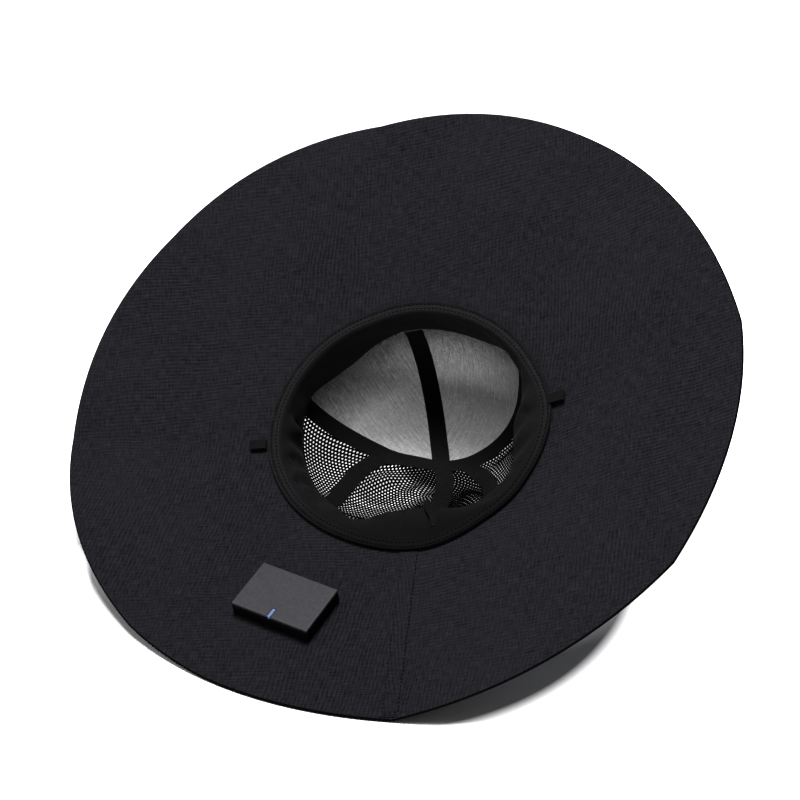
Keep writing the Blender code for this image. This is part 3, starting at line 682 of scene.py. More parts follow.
def sheer_material(name, colour, settings):
    """Sheer cloth: fine crossing threads, with more light through it towards the top."""
    material, tree, shader = new_material(name, 0.85, 0.1)
    vector = cloth_vector(tree)
    inlets = {"Cloth": vector, "Threads": 1.0 / settings.sheer_pitch, "Rib Strength": 0.0}
    weave = add_node(tree, "Group", inlets, node_tree=GROUPS["weave"]).outputs
    along = split_axes(tree, vector)[1]
    cover = ramp(tree, along, BAND_LENGTH, BAND_LENGTH + settings.sheer_length,
                 settings.sheer_cover, settings.sheer_thin)
    grain = times(tree, math_node(tree, "SUBTRACT", 0.5, weave["Tint"]), settings.sheer_grain)
    streak = math_node(tree, "SUBTRACT", threads(tree, vector, 50.0, 900.0, 0.25), 0.5)
    grain = plus(tree, grain, times(tree, streak, settings.sheer_grain * 0.6))
    feed(tree, shader, {"Base Color": varied(tree, weave["Tint"], colour, 0.8, 1.2),
                        "Alpha": plus(tree, cover, grain, True)})
    add_bump(tree, shader, weave["Height"], 0.00002)
    return material


def net_material(name, colour):
    material, tree, shader = new_material(name, 0.8, 0.04)
    fibre = noise_node(tree, object_spot(tree), 1800.0, 3.0, 0.7)
    feed(tree, shader, {"Base Color": varied(tree, fibre, colour, 0.5, 1.6)})
    add_bump(tree, shader, fibre, 0.0002)
    return material


def plastic_material(name, colour, roughness, grain, wear, specular):
    material, tree, shader = new_material(name, roughness, specular)
    fine = noise_node(tree, object_spot(tree), grain, 2.0, 0.6)
    worn = add_node(tree, "Group", {"Edge": wear}, node_tree=GROUPS["wear"]).outputs
    base = mix_colour(tree, worn["Wear"], varied(tree, fine, colour, 0.9, 1.1),
                      shade_of(colour, 2.2))
    base = mix_colour(tree, times(tree, worn["Dust"], 0.12), base, shade_of(colour, 1.6))
    feed(tree, shader, {"Base Color": base,
                        "Roughness": plus(tree, roughness - 0.05, times(tree, fine, 0.12), True)})
    add_bump(tree, shader, fine, 0.00006)
    return material


def light_material(name, colour):
    material, tree, shader = new_material(name, 0.2, 0.5)
    depth = noise_node(tree, object_spot(tree), 500.0, 2.0)
    feed(tree, shader, {"Base Color": varied(tree, depth, colour, 0.8, 1.2),
                        "Emission Color": varied(tree, depth, colour, 0.7, 1.1),
                        "Emission Strength": 0.03, "Coat Weight": 0.6})
    return material


def solar_material(name, colour, settings):
    """A laminate: dark cells with thin metal lines, under a satin film."""
    material, tree, shader = new_material(name, 0.3, 0.5)
    vector = cloth_vector(tree)
    across, along = split_axes(tree, vector)[:2]

    def lines(value, pitch, width):
        place = math_node(tree, "FRACT", math_node(tree, "DIVIDE", plus(tree, value, 1.0), pitch))
        away = math_node(tree, "ABSOLUTE", math_node(tree, "SUBTRACT", place, 0.5))
        return math_node(tree, "LESS_THAN", away, width / pitch / 2.0)

    finger = lines(along, settings.finger_pitch, 0.00025)
    busbar = lines(across, settings.busbar_pitch, 0.0008)
    break_line = lines(along, settings.cell_length, 0.0014)
    metal = math_node(tree, "MAXIMUM", times(tree, finger, 0.35), busbar)
    crystal = add_node(tree, "TexVoronoi", {"Vector": vector, "Scale": 180.0}).outputs["Distance"]
    cell = mix_colour(tree, break_line, varied(tree, crystal, colour, 0.7, 1.5),
                      shade_of(colour, 0.3))
    film = noise_node(tree, vector, 260.0, 3.0)
    feed(tree, shader, {"Base Color": mix_colour(tree, metal, cell, (0.30, 0.31, 0.33)),
                        "Roughness": plus(tree, 0.22, times(tree, film, 0.18)),
                        "Coat Weight": 0.5, "Coat Roughness": 0.25})
    add_bump(tree, shader, plus(tree, film, metal), 0.00005)
    return material


# Middles of the floor's painted glow under the crown, and of the circle beyond which painted glow
# cuts off the hat's shade
UNDER_CROWN = (0.0, 0.10, 0.0)
SHADE = (-0.022, -0.042, 0.0)


def floor_material(name, colour):
    """Pale studio floor that glows though no lamp is under it: painted light under the crown and
    beyond a painted edge to the hat's own shade.
    """
    material, tree, shader = new_material(name, 0.9, 0.1)
    spot = object_spot(tree)
    sideways, forward = split_axes(tree, spot)[:2]

    def away(middle):
        apart = add_node(tree, "VectorMath", {0: spot, 1: middle}, operation="SUBTRACT").outputs[0]
        return add_node(tree, "VectorMath", {0: apart}, operation="LENGTH").outputs["Value"]

    # Painted light under the crown: stronger towards low x and y, and fading away from the crown's
    # middle
    slant = plus(tree, forward, times(tree, sideways, 0.9))
    slant = math_node(tree, "POWER", ramp(tree, slant, 0.085, 0.28, 1.0, 0.0), 1.35)
    under = times(tree, ramp(tree, slant, 0.0, 1.0, 0.08, 0.86),
                  ramp(tree, away(UNDER_CROWN), 0.17, 0.27, 1.0, 0.0))
    # Painted light beyond the shade: outside a circle the floor glows, which gives the hat's shade
    # a painted edge
    beside = math_node(tree, "MAXIMUM", ramp(tree, sideways, 0.16, 0.19),
                       ramp(tree, forward, -0.02, -0.05))
    beyond = times(tree, ramp(tree, away(SHADE), 0.1815, 0.1905), beside)
    glow = math_node(tree, "MAXIMUM", under, beyond)
    feed(tree, shader, {
        "Base Color": varied(tree, noise_node(tree, spot, 2.0, 1.0), colour, 0.995, 1.0),
        "Emission Color": mix_colour(tree, glow, (0.0, 0.0, 0.0), colour),
        "Emission Strength": 1.25})
    return material


def finish_piece(obj, slot, *nodes):
    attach(obj, "root")
    if nodes:
        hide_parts(*nodes)


# Settings

def colour_setting(name, description, default):
    return bpy.props.FloatVectorProperty(
        name=name, description=description, default=default,
        subtype="COLOR", size=3, min=0.0, max=1.0)


def length_setting(name, description, default, low, high):
    return bpy.props.FloatProperty(
        name=name, description=description, default=default, min=low, max=high,
        subtype="DISTANCE", unit="LENGTH", precision=5)


def share_setting(name, description, default, low, high=1.0):
    return bpy.props.FloatProperty(
        name=name, description=description, default=default, min=low, max=high, subtype="FACTOR")


class HatSettings(bpy.types.PropertyGroup):
    brim_colour: colour_setting(
        "Brim cloth", "Colour of the woven brim cloth", (0.0192, 0.0186, 0.0222))
    band_colour: colour_setting(
        "Sweatband cloth", "Colour of the sweatband and its flange", (0.0140, 0.0140, 0.0152))
    thread_colour: colour_setting(
        "Thread", "Colour of the sewing thread", (0.0014, 0.0014, 0.0016))
    tape_colour: colour_setting(
        "Seam tape", "Colour of the tapes over the crown's seams", (0.0105, 0.0105, 0.0113))
    sheer_colour: colour_setting(
        "Sheer cloth", "Colour of the sheer front panels", (0.055, 0.054, 0.060))
    net_colour: colour_setting(
        "Net", "Colour of the knitted net", (0.0014, 0.0014, 0.0016))
    cell_colour: colour_setting(
        "Solar cells", "Colour of the cells in the laminates", (0.012, 0.015, 0.030))
    lid_colour: colour_setting(
        "Charger lid", "Colour of the charger box's lid", (0.0365, 0.0356, 0.0402))
    base_colour: colour_setting(
        "Charger base", "Colour of the charger box's lower shell", (0.0030, 0.0030, 0.0034))
    light_colour: colour_setting(
        "Light pipe", "Colour of the charger's light pipe", (0.15, 0.19, 0.31))
    floor_colour: colour_setting(
        "Floor", "Colour of the studio floor", (0.90, 0.90, 0.90))
    weave_pitch: length_setting(
        "Weave pitch", "Distance between threads of the brim's cloth", 0.0009, 0.0002, 0.01)
    rib_pitch: length_setting(
        "Rib pitch", "Distance between the faint ribs of the brim's cloth", 0.0027, 0.0005, 0.05)
    sheer_pitch: length_setting(
        "Sheer pitch", "Distance between threads of the sheer cloth", 0.0006, 0.0002, 0.01)
    sheer_cover: share_setting(
        "Sheer cover", "Share of the light that the sheer cloth stops at the sweatband", 0.82, 0.2)
    sheer_thin: share_setting(
        "Sheer cover at the top", "The same share where the panels meet at the top", 0.40, 0.1)
    sheer_grain: share_setting(
        "Sheer grain", "How much the cover changes from thread to thread", 0.20, 0.0)
    sheer_length: length_setting(
        "Sheer fade", "Length over which the sheer cloth lets in more light", 0.045, 0.01, 0.5)
    net_pitch: length_setting(
        "Net pitch", "Distance between the net's holes", 0.0032, 0.001, 0.02)
    net_hole: share_setting(
        "Net hole", "Width of a hole as a share of the pitch", 0.50, 0.3, 0.9)
    net_thickness: length_setting(
        "Net thickness", "Thickness of the net's strands", 0.0005, 0.0001, 0.003)
    tape_width: length_setting(
        "Tape width", "Width of the tapes over the crown's seams", 0.013, 0.005, 0.03)
    tape_thickness: length_setting(
        "Tape thickness", "Thickness of those tapes", 0.0007, 0.0003, 0.003)
    stitch_pitch: length_setting(
        "Stitch pitch", "Distance between stitches", 0.0030, 0.001, 0.01)
    stitch_length: length_setting(
        "Stitch length", "Length of the thread that shows in one stitch", 0.0020, 0.0005, 0.01)
    thread_radius: length_setting(
        "Thread radius", "Radius of the sewing thread", 0.00042, 0.00005, 0.001)
    finger_pitch: length_setting(
        "Grid line pitch", "Distance between the thin lines on the solar cells",
        0.0022, 0.0005, 0.02)
    busbar_pitch: length_setting(
        "Busbar pitch", "Distance between the broad lines on the solar cells", 0.021, 0.005, 0.1)
    cell_length: length_setting(
        "Cell length", "Length of one solar cell along the laminate", 0.0235, 0.005, 0.2)
    camera_elevation: bpy.props.FloatProperty(
        name="Camera elevation", description="Angle of the camera above the floor",
        subtype="ANGLE", unit="ROTATION", default=math.radians(31.0))
    camera_distance: length_setting(
        "Camera distance", "Distance from the camera to the point it looks at", 1.5, 0.5, 10.0)
    camera_lens: bpy.props.FloatProperty(
        name="Camera lens", description="Focal length on a 36 mm sensor",
        subtype="DISTANCE_CAMERA", default=86.483, min=10.0, max=300.0)


class HatOperator:
    bl_options = {"REGISTER", "UNDO"}

    @property
    def settings(self):
        return bpy.context.scene.solar_hat


class HAT_OT_materials(HatOperator, bpy.types.Operator):
    """Build the shared effects and every material"""
    bl_idname = "hat.materials"
    bl_label = "Materials"

    def execute(self, context):
        values = self.settings
        GROUPS["weave"] = weave_group()
        GROUPS["wear"] = wear_group()
        brim = {"fineness": values.weave_pitch, "rib_pitch": values.rib_pitch, "depth": 0.00018,
                "spread": 0.75, "specular": 0.05, "wear": 0.1, "ribs": 0.25}
        fine = {"fineness": 0.0008, "rib_pitch": 0.0016, "depth": 0.00012}
        MATERIALS.update({
            "brim_cloth": cloth_material("brim cloth", values.brim_colour, level=True, **brim),
            "strip_cloth": cloth_material("rear strip cloth", values.brim_colour, **brim),
            # The sweatband's cloth carries painted shade and is darker towards its rear.
            "band_cloth": cloth_material(
                "sweatband cloth", values.band_colour, roughness=0.68, specular=0.09, wear=0.05,
                ribs=0.2, painted_rear_shade=0.35, **fine),
            "tape_cloth": cloth_material(
                "tape cloth", values.tape_colour, specular=0.06, sheen=0.0, rib_angle=0.8, **fine),
            "thread": cloth_material(
                "sewing thread", values.thread_colour, 0.0005, 0.0006, 0.00008, level=True,
                roughness=0.7, specular=0.05, sheen=0.0, ribs=0.1),
            "sheer_cloth": sheer_material("sheer cloth", values.sheer_colour, values),
            "net_cloth": net_material("net", values.net_colour),
            "solar_laminate": solar_material("solar laminate", values.cell_colour, values),
            "base_plastic": plastic_material(
                "charger base plastic", values.base_colour, 0.5, 2600.0, 0.3, 0.08),
            "lid_plastic": plastic_material(
                "charger lid plastic", values.lid_colour, 0.42, 2200.0, 0.5, 0.3),
            "light_plastic": light_material("light pipe plastic", values.light_colour),
            "floor": floor_material("studio floor", values.floor_colour),
        })
        return {"FINISHED"}


class HAT_OT_brim(HatOperator, bpy.types.Operator):
    """Build the brim: eight sectors of one cloth, with soft creases between them"""
    bl_idname = "hat.brim"
    bl_label = "Brim"

    COLUMNS = 24
    ROWS = 44

    def execute(self, context):
        part = np.arange(self.COLUMNS) / self.COLUMNS
        part = part - 0.72 * np.sin(2.0 * math.pi * part) / (2.0 * math.pi)
        places = (np.arange(SECTORS)[:, None] + part[None]).ravel()
        rows = np.concatenate([np.linspace(0.0, 0.985, self.ROWS), [0.9945, 1.0]])
        place, row = np.meshgrid(places, rows)
        middle = brim_point(place, row)
        normal = closed_normals(middle)
        normal = np.where(normal[..., 2:] > 0.0, normal, -normal)
        share = place - np.floor(place)
        wave = 0.00016 * np.sin(9.0 * share * math.pi + place * 2.1) * np.sin(math.pi * share)
        wave = wave + 0.00012 * np.sin(row * 17.0 + place * 5.0)
        wave = wave * np.sin(math.pi * np.clip(row, 0.0, 1.0))
        wave = np.where(middle[..., 2] < 0.003, 0.0, wave)
        middle = middle + normal * wave[..., None]
        hem = bump(row, 0.975, 0.012) * 0.12 - bump(row, 0.955, 0.004) * 0.10
        flat = to_floor(ring_point(places * 360.0 / SECTORS, BRIM_OVERLAP))[None]
        middle = np.concatenate([flat, middle])
        normal = np.concatenate([normal[:1], normal])
        half = np.full(middle.shape[:2], BRIM_T / 2.0 - SLIM)
        half[1:] = half[1:] * (1.0 + hem)
        half[-1] = half[-1] * 0.45
        over = middle[-1:] + unit(middle[-1:] - middle[-2:-1]) * 0.0007
        middle = np.concatenate([middle, over])
        normal = np.concatenate([normal, normal[-1:]])
        half = np.concatenate([half, half[-1:] * 0.4])
        half[-2] = (BRIM_T / 2.0) * 0.9
        lowest = middle[..., 2] - half
        middle[..., 2] = middle[..., 2] + np.maximum(0.00005 - lowest, 0.0)
        obj = shell("brim_cloth", middle, normal, half, ("brim_cloth", "thread"), True, 50.0)
        count, wide = middle.shape[:2]
        # Painted shade: the outermost rows and the edge's walls take the near-black thread colour,
        # for the shade along the edge binding.
        faces = np.arange(len(obj.data.polygons))
        edge = (faces >= 2 * wide * (count - 2)) & (faces < 2 * wide * (count - 1))
        edge |= faces >= 2 * wide * (count - 1) + wide
        obj.data.polygons.foreach_set("material_index", edge.astype(np.int32))
        finish_piece(obj, "brim_cloth", "brim")
        return {"FINISHED"}


class HAT_OT_laminates(HatOperator, bpy.types.Operator):
    """Build the eight solar laminates on the brim's hidden side"""
    bl_idname = "hat.laminates"
    bl_label = "Solar laminates"

    FIRST_ROW, LAST_ROW = 0.14, 0.84
    FIRST_COLUMN, LAST_COLUMN = 0.125, 0.875
    ROWS, COLUMNS = 26, 22
    THICKNESS = 0.0008
    RIM = 0.55

    def execute(self, context):
        rows = np.linspace(self.FIRST_ROW, self.LAST_ROW, self.ROWS)
        columns = np.linspace(self.FIRST_COLUMN, self.LAST_COLUMN, self.COLUMNS)
        half = np.full((self.ROWS, self.COLUMNS), self.THICKNESS / 2.0 - SLIM)
        half[0] = half[-1] = half[:, 0] = half[:, -1] = half[1, 1] * self.RIM
        drop = BRIM_T / 2.0 + GAP + self.THICKNESS / 2.0 + SLIM
        for index in range(SECTORS):
            place, row = np.meshgrid(index + columns, rows)
            normal = brim_normal(place, row)
            obj = shell("solar_laminate_%d" % (index + 1), brim_point(place, row) - normal * drop,
                        normal, half, ("solar_laminate",))
            finish_piece(obj, "solar_laminate", "solar_panel_%d" % (index + 1))
        return {"FINISHED"}


class HAT_OT_seam_strip(HatOperator, bpy.types.Operator):
    """Build the sewn strip on the rear crease with its stitch rows"""
    bl_idname = "hat.seam_strip"
    bl_label = "Rear seam strip"

    LEFT, RIGHT = 0.0075, 0.0055
    THICKNESS = 0.0007
    CREASE = 6.0

    def surface(self, offsets, rows):
        """Points on the strip's top at offsets in metres from the crease."""
        offset, row = np.meshgrid(offsets, rows)
        end = self.CREASE + 1.0
        spans = [np.linalg.norm(brim_point(self.CREASE, value) - brim_point(end, value))
                 for value in rows]
        point = brim_point(self.CREASE + offset / np.array(spans)[:, None], row)
        right = brim_normal(np.full_like(row, self.CREASE - 0.05), row)
        left = brim_normal(np.full_like(row, self.CREASE + 0.05), row)
        mix = ease((offset + 0.003) / 0.006)[..., None]
        return point, unit(right * (1.0 - mix) + left * mix)

    def execute(self, context):
        offsets = np.array([-self.RIGHT, -self.RIGHT + 0.0004, -0.0042, -0.0028, -0.0012, 0.0,
                            0.0012, 0.0030, 0.0048, 0.0062, self.LEFT - 0.0004, self.LEFT])
        rows = np.linspace(0.0, 0.990, 56)
        point, normal = self.surface(offsets, rows)
        lift = np.full(point.shape[:2], BRIM_T / 2.0 + self.THICKNESS / 2.0)
        lift = lift + 0.00012 * np.sin(rows * 90.0)[:, None] * bump(offsets, 0.0, 0.006)[None]
        lift = lift - 0.0007 * ease((offsets - 0.0040) / 0.0035)[None]
        half = np.full(point.shape[:2], self.THICKNESS / 2.0)
        half[:, 0] *= 0.6
        half[:, -1] *= 0.3
        half[:, 1:4] *= 1.15
        obj = shell("rear_seam_strip_cloth", point + normal * lift[..., None], normal, half,
                    ("strip_cloth",))
        finish_piece(obj, "brim_cloth", "rear_seam_strip")
        sides = (-self.RIGHT + 0.0017, self.LEFT - 0.0012)
        lines, ups = [], []
        for offset in sides:
            point, normal = self.surface(np.array([offset]), rows[1:-1])
            lines.append((point + normal * (BRIM_T / 2.0 + self.THICKNESS * 0.9))[:, 0])
            ups.append(normal[:, 0])
        for row in (0.982, 0.970):
            point, normal = self.surface(np.linspace(*sides, 9), np.array([row]))
            lines.append((point + normal * (BRIM_T / 2.0 + self.THICKNESS))[0])
            ups.append(normal[0])
        obj = stitches("rear_strip_stitches", lines, ups, self.settings,
                       self.settings.thread_radius * 0.65)
        finish_piece(obj, "brim_cloth")
        return {"FINISHED"}


class HAT_OT_sweatband(HatOperator, bpy.types.Operator):
    """Build the sweatband: raised lip, rolled flange, soft puckered band and stitch rows"""
    bl_idname = "hat.sweatband"
    bl_label = "Sweatband"

    STEPS = 720
    STITCH_ROWS = (4, 9)
    # Across the flange, as shares: inset from its edge, rise of the lip and of the roll
    FLANGE = ((0.00, 1.00), (0.05, 0.86), (0.12, 0.55), (0.19, 0.30), (0.27, 0.06), (0.34, 0.16),
              (0.45, 0.24), (0.56, 0.30), (0.66, 0.20), (0.74, 0.06), (0.82, 0.14), (0.95, 0.02))
    # Small creases of the band: angle, depth, half-angle, half-depth, metres
    CREASES = (
        (249.0, 0.55, 1.5, 0.30, -0.0030), (252.5, 0.62, 1.8, 0.28, 0.0022),
        (263.5, 0.62, 1.2, 0.16, -0.0016), (268.0, 0.50, 1.3, 0.14, -0.0016),
        (278.6, 0.45, 0.6, 0.40, -0.0014), (285.0, 0.45, 2.0, 0.30, 0.0014),
        (163.0, 0.55, 2.0, 0.20, -0.0030), (167.0, 0.60, 2.5, 0.24, 0.0018),
        (184.5, 0.40, 2.2, 0.16, -0.0022), (201.0, 0.26, 2.6, 0.10, -0.0024),
        (205.0, 0.45, 2.6, 0.20, 0.0016), (358.0, 0.42, 3.0, 0.14, -0.0024),
        (7.0, 0.60, 3.0, 0.20, 0.0016), (226.0, 0.55, 3.0, 0.30, 0.0012),
        (310.0, 0.60, 3.0, 0.26, -0.0014), (330.0, 0.50, 3.0, 0.24, 0.0014),
    )

    def profile(self, angles):
        """Rows of the middle surface from the lip to the end of the band."""
        top = BRIM_T / 2.0 + GAP + BAND_T / 2.0
        rows = []
        for inset, rise in self.FLANGE:
            ripple = 0.00018 * np.sin(np.radians(angles * 37.0)) * (0.05 < inset < 0.3)
            height = top + rise * LIP_RISE + ripple
            rows.append(to_floor(ring_point(angles, inset * FLANGE_W, height)))
        offset = (CROWN_T + BAND_T) / 2.0 + BAND_GAP
        reach = around(angles, BAND_DEPTHS, 2.0)
        for depth in np.linspace(0.04, 1.0, 36):
            share = depth * reach / BAND_LENGTH - 1.0
            point = CROWN.point(angles, share)
            normal = CROWN.normal(angles, np.full(self.STEPS, -0.5))
            rows.append(point + normal * (offset + self.pucker(angles, depth))[:, None])
        return np.array(rows)

    def pucker(self, angles, depth):
        """Soft gathers of the band, deeper at the sides and at the rear join."""
        side = 0.0036 * (angle_bump(angles, 182.0, 26.0) + 0.9 * angle_bump(angles, 355.0, 24.0))
        waves = 0.5 + 0.5 * np.sin(np.radians(angles * 26.0) + 2.4 * depth)
        small = 0.0008 * np.sin(np.radians(angles * 11.0) + 4.0 * depth)
        height = side * waves * np.sin(math.pi * np.clip(depth * 1.05, 0.0, 1.0))
        height = height + (small + 0.0008) * math.sin(math.pi * depth)
        for angle, place, half, place_half, rise in self.CREASES:
            crease = angle_bump(angles, angle, half) * bump(depth, place, place_half)
            height = height + rise * crease
        return np.maximum(height, -0.0006)

    def execute(self, context):
        angles = np.arange(self.STEPS) * 360.0 / self.STEPS
        middle = self.profile(angles)
        normal = closed_normals(middle)
        inward = to_floor(np.zeros(3)) - middle[0]
        if np.sum(normal[-2] * inward, -1).mean() < 0.0:
            normal = -normal
        half = np.full(middle.shape[:2], BAND_T / 2.0 - SLIM)
        half[0] *= 0.75
        half[-1] *= 0.6
        obj = shell("sweatband_cloth", middle, normal, half, ("band_cloth",), True, 60.0)
        finish_piece(obj, "band_cloth", "sweatband")
        lines, ups = [], []
        for row in self.STITCH_ROWS:
            line = middle[row] + normal[row] * (BAND_T / 2.0)
            lines.append(np.concatenate([line, line[:1]]))
            ups.append(np.concatenate([normal[row], normal[row][:1]]))
        obj = stitches("sweatband_stitches", lines, ups, self.settings, self.settings.thread_radius)
        finish_piece(obj, "band_cloth")
        return {"FINISHED"}


class HAT_OT_sheer_panels(HatOperator, bpy.types.Operator):
    """Build the two sheer front panels of the crown"""
    bl_idname = "hat.sheer_panels"
    bl_label = "Sheer panels"

    PANELS = (("crown_front_left", 0), ("crown_front_right", 1))
    THICKNESS = 0.0003

    def execute(self, context):
        behind, below = np.linspace(-1.0, -0.02, 10), np.linspace(0.0, 0.985, 46)
        shares = np.concatenate([behind, below])[:, None]
        for name, index in self.PANELS:
            first, span = panel_span(index, shares)
            angle = first + span * np.linspace(0.0, 1.0, 29)
            middle, normal = CROWN.point(angle, shares), CROWN.normal(angle, shares)
            half = np.full(angle.shape, self.THICKNESS / 2.0)
            obj = shell(name + "_cloth", middle, normal, half, ("sheer_cloth",))
            finish_piece(obj, "sheer_cloth", name)
        return {"FINISHED"}


class HAT_OT_net_panels(HatOperator, bpy.types.Operator):
    """Build the four net panels as real knitted mesh with open six-sided holes"""
    bl_idname = "hat.net_panels"
    bl_label = "Net panels"

    PANELS = (("crown_side_right", 2), ("crown_rear_right", 3),
              ("crown_rear_left", 4), ("crown_side_left", 5))
    # Where the net lies gathered: panel, share where that starts, how far its holes close
    GATHERED = {3: (0.70, 0.42), 4: (-0.5, 0.36), 2: (0.80, 0.40), 5: (0.80, 0.20)}
    TIP = 0.97

    def execute(self, context):
        for name, index in self.PANELS:
            self.make_net(name, index)
        return {"FINISHED"}

    def place(self, index, flat):
        """From flat net coordinates in metres to angle and share."""
        shares = np.linspace(-1.0, 1.0, 101)
        first, span = panel_span(index, shares)
        grid = CROWN.point(first[:, None] + span[:, None] * np.linspace(0.0, 1.0, 17),
                           shares[:, None])
        width = np.linalg.norm(np.diff(grid, axis=1), axis=2).sum(1)
        start = len(shares) // 2
        length = CROWN.lengths(first[start] + span[start] / 2.0)
        share = flat[..., 1] / np.where(flat[..., 1] < 0.0, BAND_LENGTH, length)
        spot = np.interp(share, shares, width)
        across = 0.5 + flat[..., 0] / np.maximum(spot, 1e-5)
        angle = (np.interp(share, shares, first)
                 + np.interp(share, shares, span) * np.clip(across, 0.0, 1.0))
        return angle, share, across

    def make_net(self, name, index):
        values = self.settings
        pitch = values.net_pitch
        rise = pitch * math.sqrt(3.0) / 2.0
        hexagon = np.radians(np.arange(6) * 60.0 + 30.0)
        outer = np.stack([np.cos(hexagon), np.sin(hexagon)], -1) * pitch / math.sqrt(3.0)
        inner = outer * values.net_hole * math.sqrt(3.0) / 2.0 * 1.12
        column, line = np.meshgrid(np.arange(-45, 46), np.arange(-14, 60))
        centre = np.stack([(column + 0.5 * (line % 2)) * pitch, line * rise], -1).reshape(-1, 2)
        angle, share, across = self.place(index, centre)
        keep = (across > 0.004) & (across < 0.996) & (share < self.TIP) & (share > -1.0)
        centre = centre[keep]
        start, closed = self.GATHERED[index]
        open_share = 1.0 - closed * ease((share[keep] - start) / 0.12)
        ring = centre[:, None] + outer[None]
        hole = centre[:, None] + inner[None] * open_share[:, None, None]
        flat = np.concatenate([ring.reshape(-1, 2), hole.reshape(-1, 2)])
        angle, share, _ = self.place(index, flat)
        share = np.clip(share, -1.0, self.TIP)
        middle, normal = CROWN.point(angle, share), CROWN.normal(angle, share)
        count, cells = len(flat), len(centre)
        key = np.round(ring.reshape(-1, 2) / (pitch * 0.05)).astype(np.int64)
        _, first, inverse = np.unique(key, axis=0, return_index=True, return_inverse=True)
        remap = np.arange(count)
        remap[:cells * 6] = first[inverse.ravel()]
        thin = np.full(count, values.net_thickness / 2.0)
        thin[cells * 6:] *= 0.45
        points = np.concatenate([middle + normal * thin[:, None], middle - normal * thin[:, None]])
        spots = np.arange(6)
        after = (spots + 1) % 6
        base = (np.arange(cells) * 6)[:, None]
        a, b = remap[base + spots], remap[base + after]
        c, d = cells * 6 + base + after, cells * 6 + base + spots
        top = np.stack([a, b, c, d], -1).reshape(-1, 4)
        bottom = (np.stack([d, c, b, a], -1) + count).reshape(-1, 4)
        wall = np.stack([d, c, c + count, d + count], -1).reshape(-1, 4)
        edges = np.sort(np.stack([a, b], -1).reshape(-1, 2), 1)
        _, place, times = np.unique(edges, axis=0, return_index=True, return_counts=True)
        rim = place[times == 1]
        ra, rb = a.reshape(-1)[rim], b.reshape(-1)[rim]
        rim_wall = np.stack([rb, ra, ra + count, rb + count], -1)
        faces = np.concatenate([top, bottom, wall, rim_wall])
        used = np.unique(faces)
        new = np.zeros(len(points), int)
        new[used] = np.arange(len(used))
        obj = make_object(name + "_net", points[used], new[faces].tolist(), ("net_cloth",),
                          sharp=70.0)
        finish_piece(obj, "net_cloth", name)


class HAT_OT_tapes(HatOperator, bpy.types.Operator):
    """Build the tapes over the crown's seams, crossing at the top"""
    bl_idname = "hat.tapes"
    bl_label = "Seam tapes"

    ARMS = (("left_front", 0, 0.00085), ("right_front", 2, 0.00085),
            ("right_rear", 3, 0.0008), ("left_rear", 5, 0.0008))
    TAIL_ANGLE = 280.0        # where the front-rear tape's loose end crosses the sweatband

    def strip(self, line, up, name, lift, twist=0.0, wide=1.0):
        """A tape along a line of points, a little rounded across its width."""
        values = self.settings
        ahead = unit(np.gradient(line, axis=0))
        side = unit(np.cross(ahead, up))
        up = unit(np.cross(side, ahead))
        twist = np.broadcast_to(twist, len(line))[:, None]
        side, up = (side * np.cos(twist) + up * np.sin(twist),
                    up * np.cos(twist) - side * np.sin(twist))
        width = values.tape_width * np.broadcast_to(wide, len(line))
        across = np.linspace(-0.5, 0.5, 11)
        crown = 0.00025 * (1.0 - (2.0 * across) ** 2)
        middle = line[:, None] + side[:, None] * across[None, :, None] * width[:, None, None]
        middle = middle + up[:, None] * (lift + crown)[None, :, None]
        half = np.full(middle.shape[:2], values.tape_thickness / 2.0)
        half[:, [0, -1]] *= 0.5
        obj = shell("tape_%s_cloth" % name, middle, up[:, None], half, ("tape_cloth",))
        finish_piece(obj, "tape_cloth", "tape_" + name)

    def seam_line(self, index, first, last, count=60):
        share = np.linspace(first, last, count)
        angle = seam_angle(index, share)
        return CROWN.point(angle, share), CROWN.normal(angle, share)

    def execute(self, context):
        for name, index, lift in self.ARMS:
            self.strip(*self.seam_line(index, -0.12, 0.985), name, lift)
        front, front_up = self.seam_line(1, -0.12, 0.97)
        rear, rear_up = self.seam_line(4, 0.14, 0.97, 44)
        share = np.linspace(-0.66, 0.10, 16)
        angle = self.TAIL_ANGLE + 1.5 * bump(share, -0.3, 0.25)
        over, over_up = CROWN.point(angle, share), CROWN.normal(angle, share)
        rise = 0.0024 + 0.0012 * bump(share, 0.05, 0.15) - 0.0012 * ease((-0.50 - share) / 0.16)
        over = over + over_up * rise[:, None]
        line = np.concatenate([front, rear[::-1], over[::-1]])
        up = np.concatenate([front_up, rear_up[::-1], over_up[::-1]])
        tail = len(rear) + len(over)
        gone = np.concatenate([np.zeros(len(front)), np.linspace(0.0, 1.0, tail)])
        twist = 0.35 * ease((gone - 0.45) / 0.4)
        wide = 1.0 + 0.12 * bump(gone, 0.75, 0.12) - 0.75 * ease((gone - 0.84) / 0.16)
        self.strip(line, up, "front_rear", 0.0017, twist, wide)
        return {"FINISHED"}


